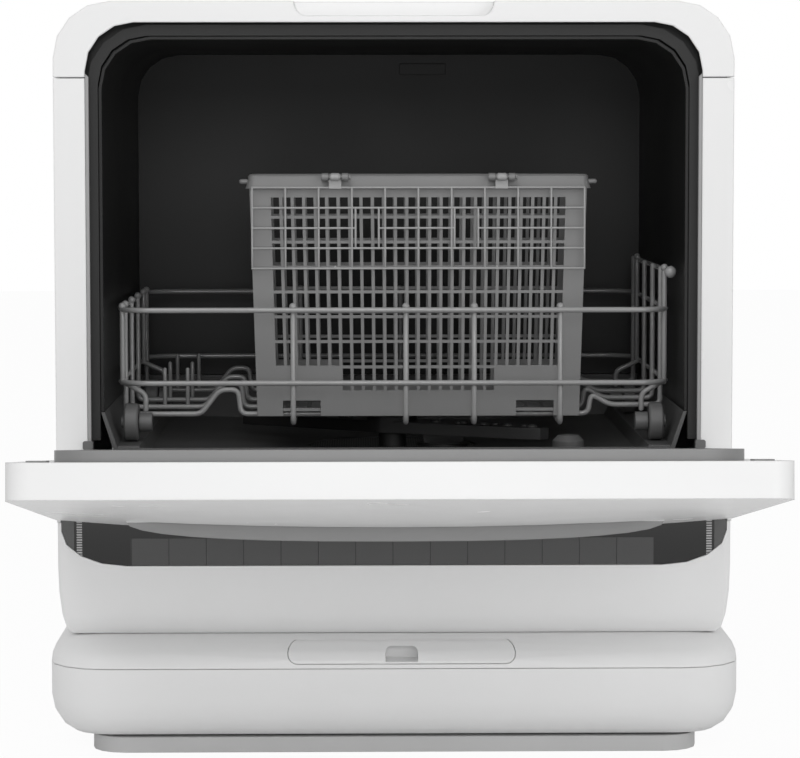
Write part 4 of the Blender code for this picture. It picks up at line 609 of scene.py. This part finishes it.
basket = {"middle": 0.016, "front": -0.140, "back": -0.082, "foot": 0.2036, "top": 0.358, "footHalf": 0.103,
          "topHalf": 0.1078, "wall": 0.002, "panelInset": 0.001, "cornerMargin": 0.0128,
          "windowHalf": 0.0902, "windowLow": 0.235, "windowHigh": 0.3443, "dropLow": 0.220, "dropHalf": 0.048,
          "columns": 26, "slat": 0.0020, "barPitch": 0.0159, "barShift": 0.0024, "bar": 0.0019,
          "rowTolerance": 0.002, "notches": (-0.0745, 0.0745), "notchWidth": 0.024, "notchHigh": 0.2135,
          "sideColumns": 5, "floor": 0.2066, "floorMargin": 0.010, "floorRows": 4, "floorColumns": 18,
          "rimBand": 0.009, "rimLip": 0.0025, "rimWall": 0.0018, "rimCorner": 0.004,
          "rimFlare": ((1, 0), (0.8, 0.0015), (0.35, 0.005)),
          "rimCrown": ((0.0008, 0.0012), (0, 0.0004), (-0.0004, 0)), "rimHook": 0.0006, "rimTaper": 0.0004,
          "stubReach": 0.0065, "stubPlace": (-0.135, 0.3535), "stubRadius": 0.0016,
          "hinges": (-0.053, 0.053), "axis": (-0.147, 0.3565), "lugRadius": 0.0024, "lugSteps": 13,
          "lugBack": -0.14125, "lugTop": 0.3575, "lugGap": 0.0044, "lugThickness": 0.004}


# Rows and columns of open cells between two edges, with slats and bars between them
def openCells(left, right, edges, columns, slat, bar):
    pitch = (right - left + slat) / columns
    starts = left + pitch * np.arange(columns)
    return [(start, start + pitch - slat, low + bar / 2, high - bar / 2) for start in starts
            for low, high in zip(edges[:-1], edges[1:])]


# The width grows with height: every x is stretched by one plus the height's share of the draft
def drafted(mesh, along=0.0):
    points, faces = mesh
    share = (points[:, 2:3] - basket["foot"]) / (basket["top"] - basket["foot"])
    grow = 1 + share * (basket["topHalf"] / basket["footHalf"] - 1)
    points = points.copy()
    points[:, 0:1] = points[:, 0:1] * grow + basket["middle"]
    points[:, 1] += along
    return points, faces


# Four lattice walls with draft: windows in rows, a deeper middle, and two notches at the foot
def basketWalls():
    slat, bar, wall, inset = basket["slat"], basket["bar"], basket["wall"], basket["panelInset"]
    low, high = basket["windowLow"], basket["windowHigh"]
    bars = np.arange(high, low, -basket["barPitch"])[1:] + basket["barShift"]
    edges = np.concatenate(([low], bars[::-1], [high]))
    cells = openCells(-basket["windowHalf"], basket["windowHalf"], edges, basket["columns"], slat, bar)
    lowest = [cell[:2] for cell in cells if abs(cell[2] - low) < basket["rowTolerance"]]
    cells += [(left, right, basket["dropLow"], low - bar / 2) for left, right in lowest
              if abs(left + right) / 2 < basket["dropHalf"]]
    reach = basket["notchWidth"] / 2
    cells += [(middle - reach, middle + reach, basket["foot"], basket["notchHigh"])
              for middle in basket["notches"]]
    rimUnder = basket["top"] - basket["rimBand"] / 2
    sheet = lattice((-basket["footHalf"], basket["footHalf"], basket["foot"], rimUnder), cells, wall)
    meshes = [drafted(sheet, basket["front"]), drafted(sheet, basket["back"] - wall)]
    near, far = basket["front"] + inset, basket["back"] - inset
    sideCells = openCells(near + basket["cornerMargin"], far - basket["cornerMargin"], edges,
                          basket["sideColumns"], slat, bar)
    points, faces = lattice((near, far, basket["floor"], rimUnder), sideCells, wall)
    for side in (-1, 1):
        turned = np.stack((side * (basket["footHalf"] - points[:, 1]), points[:, 0], points[:, 2]), axis=-1)
        meshes.append(drafted((turned, faces)))
    return meshes


# A level lattice: the sheet's height becomes its depth
def basketFloor():
    inset, margin = basket["panelInset"], basket["floorMargin"]
    near, far = basket["front"] + inset, basket["back"] - inset
    half = basket["footHalf"] - inset
    edges = np.linspace(near + margin, far - margin, basket["floorRows"] + 1)
    cells = openCells(-half + basket["cornerMargin"], half - basket["cornerMargin"], edges,
                      basket["floorColumns"], basket["slat"], basket["slat"])
    points, faces = lattice((-half, half, near, far), cells, basket["wall"])
    flat = np.stack((points[:, 0] + basket["middle"], points[:, 2], points[:, 1] + basket["floor"]), axis=-1)
    return flat, faces


# A small section carried round a rounded rectangle: it flares down to the lip, crowns and turns inside
def basketRim():
    middle = (basket["front"] + basket["back"]) / 2
    depth = (basket["back"] - basket["front"]) / 2
    lip, skin, hook = basket["rimLip"], basket["rimWall"], basket["rimHook"]
    low, high = basket["top"] - basket["rimBand"], basket["top"]
    profile = [(lip * share, low + rise) for share, rise in basket["rimFlare"]]
    profile += [(grow, high - drop) for grow, drop in basket["rimCrown"]]
    profile += [(-skin, high), (-skin - hook, high - hook), (-skin - basket["rimTaper"], low)]
    loops = []
    for grow, height in profile:
        loop = rectangleLoop(basket["topHalf"] + grow, depth + grow, basket["rimCorner"] + grow)
        loops.append(levelLoop(loop, (basket["middle"], middle), height))
    return np.concatenate(loops), ringFaces(len(loops), len(loops[0]), loop=True)


# A stub at each end of the rim, and two pairs of lugs with a half-round nose about the lid's axis
def basketFittings():
    meshes = []
    place, height = basket["stubPlace"]
    for side in (-1, 1):
        start = basket["middle"] + side * basket["topHalf"]
        finish = basket["middle"] + side * (basket["topHalf"] + basket["stubReach"])
        meshes.append(rod((start, place, height), (finish, place, height), basket["stubRadius"], alongY,
                          tube["thinSteps"]))
    radius = basket["lugRadius"]
    across, up = basket["axis"]
    angle = np.radians(np.linspace(90, 270, basket["lugSteps"]))
    nose = np.stack((across + radius * np.cos(angle), up + radius * np.sin(angle)), axis=-1)
    lug = np.concatenate((nose, [(basket["lugBack"], up - radius), (basket["lugBack"], basket["lugTop"])]))
    for hinge in basket["hinges"]:
        for side in (-1, 1):
            start = basket["middle"] + hinge + side * basket["lugGap"]
            meshes.append(plate(lug, 0, start, start + side * basket["lugThickness"]))
    return meshes


def makeBasket():
    meshes = basketWalls() + [basketFloor(), basketRim()] + basketFittings()
    return newPiece("basketGrid", meshes, basketPp, "basket", ["cutlery_basket"])


lid = {"left": -0.0905, "right": 0.1225, "rows": (0.3497, 0.3368, 0.3239, 0.3111, 0.29825), "uprights": 11,
       "plane": -0.1443, "radius": 0.0007, "slotRow": 2, "slots": ((-0.0240, -0.0092), (0.0390, 0.0541)),
       "bumps": (-0.037, 0.066), "bumpRise": 0.001, "bumpRadius": 0.0008,
       "tabHalf": 0.004, "tabHalfDepth": 0.0008, "barrelRadius": 0.0024, "barrelSides": 20}


# A grid of thin round wires with two slots across its middle row, hung by tabs from barrels on the axis
def makeLid():
    radius, plane, rows = lid["radius"], lid["plane"], lid["rows"]
    top, bottom = rows[0], rows[-1]
    slotEdges = [place for slot in lid["slots"] for place in slot]
    meshes = []
    for number, height in enumerate(rows):
        stops = [lid["left"], *(slotEdges if number == lid["slotRow"] else []), lid["right"]]
        for start, finish in zip(stops[::2], stops[1::2]):
            meshes.append(rod((start, plane, height), (finish, plane, height), radius, alongY,
                              sides=tube["thinSides"]))
    uprights = [(place, bottom, top)
                for place in np.linspace(lid["left"] + radius, lid["right"] - radius, lid["uprights"])]
    uprights += [(place, rows[lid["slotRow"] + 1], rows[lid["slotRow"] - 1]) for place in slotEdges]
    for place, low, high in uprights:
        meshes.append(rod((place, plane, low), (place, plane, high), radius, alongY, tube["thinSteps"],
                          tube["thinSides"]))
    meshes += [ball((place, plane, bottom + lid["bumpRise"]), lid["bumpRadius"]) for place in lid["bumps"]]
    across, up = basket["axis"]
    for place in basket["hinges"]:
        left = basket["middle"] + place - lid["tabHalf"]
        right = basket["middle"] + place + lid["tabHalf"]
        meshes.append(rod((left, across, up), (right, across, up), lid["barrelRadius"], alongY,
                          sides=lid["barrelSides"]))
        tab = [(left, top - radius), (right, top - radius), (right, up), (left, up)]
        meshes.append(plate(tab, 1, plane - lid["tabHalfDepth"], plane + lid["tabHalfDepth"]))
    return newPiece("lidGrid", meshes, lidPp, "basket_lid", ["basket_lid"])


makeBasket()
makeLid()
print("basket and lid")


# Trim strips beside the mouth of the tub, and the hinge blocks

trim = {"outer": 0.1903, "width": 0.0020, "front": -0.1999, "back": -0.1957, "foot": 0.1900, "top": 0.4205}


# A slim upright strip at each side of the mouth, clear of the door's liner when it closes
def makeTrim():
    inner = trim["outer"] - trim["width"]
    meshes = []
    for side in (-1, 1):
        outline = [(side * inner, trim["foot"]), (side * trim["outer"], trim["foot"]),
                   (side * trim["outer"], trim["top"]), (side * inner, trim["top"] - trim["width"])]
        meshes.append(plate(outline, 1, trim["front"], trim["back"]))
    return newPiece("mouthTrim", meshes, trimAbs, "cabinet")


block = {"inside": 0.1872, "outside": 0.1935, "foot": 0.1882, "top": 0.1935, "front": -0.2016,
         "back": -0.1967, "corner": 0.0012, "cornerSteps": 5}


# A small block above each hinge: a rounded rectangle drawn out in depth
def makeBlocks():
    middle = (block["inside"] + block["outside"]) / 2
    half = (block["outside"] - block["inside"]) / 2
    height = (block["top"] - block["foot"]) / 2
    loop = rectangleLoop(half, height, block["corner"], block["cornerSteps"])
    meshes = [plate(loop + (side * middle, block["foot"] + height), 1, block["front"], block["back"])
              for side in (-1, 1)]
    return newPiece("hingeBlocks", meshes, wheelPom, "cabinet")


makeTrim()
makeBlocks()
print("trim")


# Nozzles on the spray arm, and the thin stops near the door's tip

nozzle = {"hub": (0.0, -0.066), "turnDegrees": -32.0, "distances": (0.034, 0.052, 0.070, 0.088, 0.106),
          "foot": 0.1946, "radius": 0.0034, "rise": 0.0021, "sides": 16, "rings": 9}


# Low domes along both halves of the arm: balls squashed in height
def makeNozzles():
    angle = math.radians(nozzle["turnDegrees"])
    points, faces = ball((0, 0, 0), nozzle["radius"], nozzle["sides"], nozzle["rings"])
    dome = points * (1, 1, nozzle["rise"] / nozzle["radius"])
    meshes = []
    for distance in nozzle["distances"]:
        for reach in (-distance, distance):
            place = (nozzle["hub"][0] + reach * math.cos(angle), nozzle["hub"][1] + reach * math.sin(angle),
                     nozzle["foot"])
            meshes.append((dome + place, faces))
    return newPiece("sprayNozzles", meshes, nozzlePp, "spray_arm")


tipStop = {"inside": 0.1872, "outside": 0.1980, "from": 0.262, "to": 0.279, "thickness": 0.0011,
           "start": (-0.2098, 0.18257), "along": (-0.9954, 0.0958)}


# Thin plates on the door's inner face, laid along its slope
def makeTipStops():
    start, along = np.array(tipStop["start"]), np.array(tipStop["along"])
    rise = np.array((along[1], -along[0])) * tipStop["thickness"]
    near, far = start + along * tipStop["from"], start + along * tipStop["to"]
    outline = [near, far, far + rise, near + rise]
    meshes = [plate(outline, 0, side * tipStop["inside"], side * tipStop["outside"]) for side in (-1, 1)]
    return newPiece("tipStops", meshes, linerPp, "door")


makeNozzles()
makeTipStops()
print("nozzles and stops")


# Floor, light and camera

studio = {"floorSize": 12.0, "floorTone": "#F4F4F4", "floorRoughness": 0.9, "floorGlow": 0.95,
          "worldStrength": 0.58, "fullStrength": 1.0, "white": (1, 1, 1, 1)}
lamps = {"key": {"power": 13.5, "size": 1.6, "place": (-0.5, -1.9, 2.3), "aim": (0.0, -0.1, 0.2)},
         "fill": {"power": 9.0, "size": 1.8, "place": (1.5, -2.2, 0.9), "aim": (0.0, -0.1, 0.2)},
         "front": {"power": 4.5, "size": 0.6, "place": (0.0, -2.6, 0.9), "aim": (0.0, -0.2, 0.1)},
         "low": {"power": 0.9, "size": 0.9, "place": (0.0, -1.35, 0.03), "aim": (0.0, -0.3, 0.17)}}


# A painted floor that the camera sees as near white, and that keeps the object's shadow
def makeFloor():
    half = studio["floorSize"] / 2
    mesh = bpy.data.meshes.new("floor")
    corners = [(-half, -half, 0), (half, -half, 0), (half, half, 0), (-half, half, 0)]
    mesh.from_pydata(corners, [], [(0, 1, 2, 3)])
    floor = bpy.data.objects.new("floor", mesh)
    bpy.context.scene.collection.objects.link(floor)
    material, tree, shader = newMaterial("painted_backdrop", studio["floorTone"], studio["floorRoughness"])
    glow = addNode(tree, "ShaderNodeEmission", {"Color": studio["white"], "Strength": studio["fullStrength"]})
    path = addNode(tree, "ShaderNodeLightPath")
    share = addNode(tree, "ShaderNodeMath", {0: path.outputs["Is Camera Ray"], 1: studio["floorGlow"]},
                    operation="MULTIPLY")
    blend = addNode(tree, "ShaderNodeMixShader",
                    {0: share.outputs[0], 1: shader.outputs[0], 2: glow.outputs[0]})
    tree.links.new(blend.outputs[0], tree.nodes["Material Output"].inputs["Surface"])
    mesh.materials.append(material)


def makeLamp(name, power, size, place, aim):
    lamp = bpy.data.lights.new(name, "AREA")
    lamp.energy = power
    lamp.shape = "DISK"
    lamp.size = size
    holder = bpy.data.objects.new(name, lamp)
    bpy.context.scene.collection.objects.link(holder)
    holder.location = place
    holder.rotation_euler = (Vector(aim) - Vector(place)).to_track_quat("-Z", "Y").to_euler()


# A white world: full white for camera and transmission rays, dimmer as light on the object
def makeWorld():
    world = bpy.data.worlds.new("studio")
    bpy.context.scene.world = world
    world.use_nodes = True
    tree = world.node_tree
    sky = tree.nodes["Background"]
    sky.inputs["Color"].default_value = studio["white"]
    path = addNode(tree, "ShaderNodeLightPath")
    seen = addNode(tree, "ShaderNodeMath",
                   {0: path.outputs["Is Camera Ray"], 1: path.outputs["Is Transmission Ray"]},
                   operation="MAXIMUM")
    level = addNode(tree, "ShaderNodeMapRange",
                    {"Value": seen.outputs[0], 3: studio["worldStrength"], 4: studio["fullStrength"]})
    tree.links.new(level.outputs[0], sky.inputs["Strength"])


makeFloor()
makeWorld()
for name, lamp in lamps.items():
    makeLamp(name, **lamp)

view = {"place": (-0.0217, -2.1153, 0.3754), "downDegrees": 4.289, "turnDegrees": 0.757, "rollDegrees": 0.065,
        "focalPixels": 3094.8, "frameWidthPixels": 800, "sensorMm": 36.0, "nearest": 0.05, "farthest": 50}
camera = bpy.data.cameras.new("camera")
camera.sensor_width = view["sensorMm"]
camera.lens = view["focalPixels"] / view["frameWidthPixels"] * view["sensorMm"]
camera.clip_start = view["nearest"]
camera.clip_end = view["farthest"]
holder = bpy.data.objects.new("camera", camera)
bpy.context.scene.collection.objects.link(holder)
holder.location = view["place"]
holder.rotation_euler = (math.radians(90 - view["downDegrees"]), math.radians(view["rollDegrees"]),
                         -math.radians(view["turnDegrees"]))
bpy.context.scene.camera = holder
bpy.context.scene.view_settings.view_transform = "Standard"
print("studio ready")
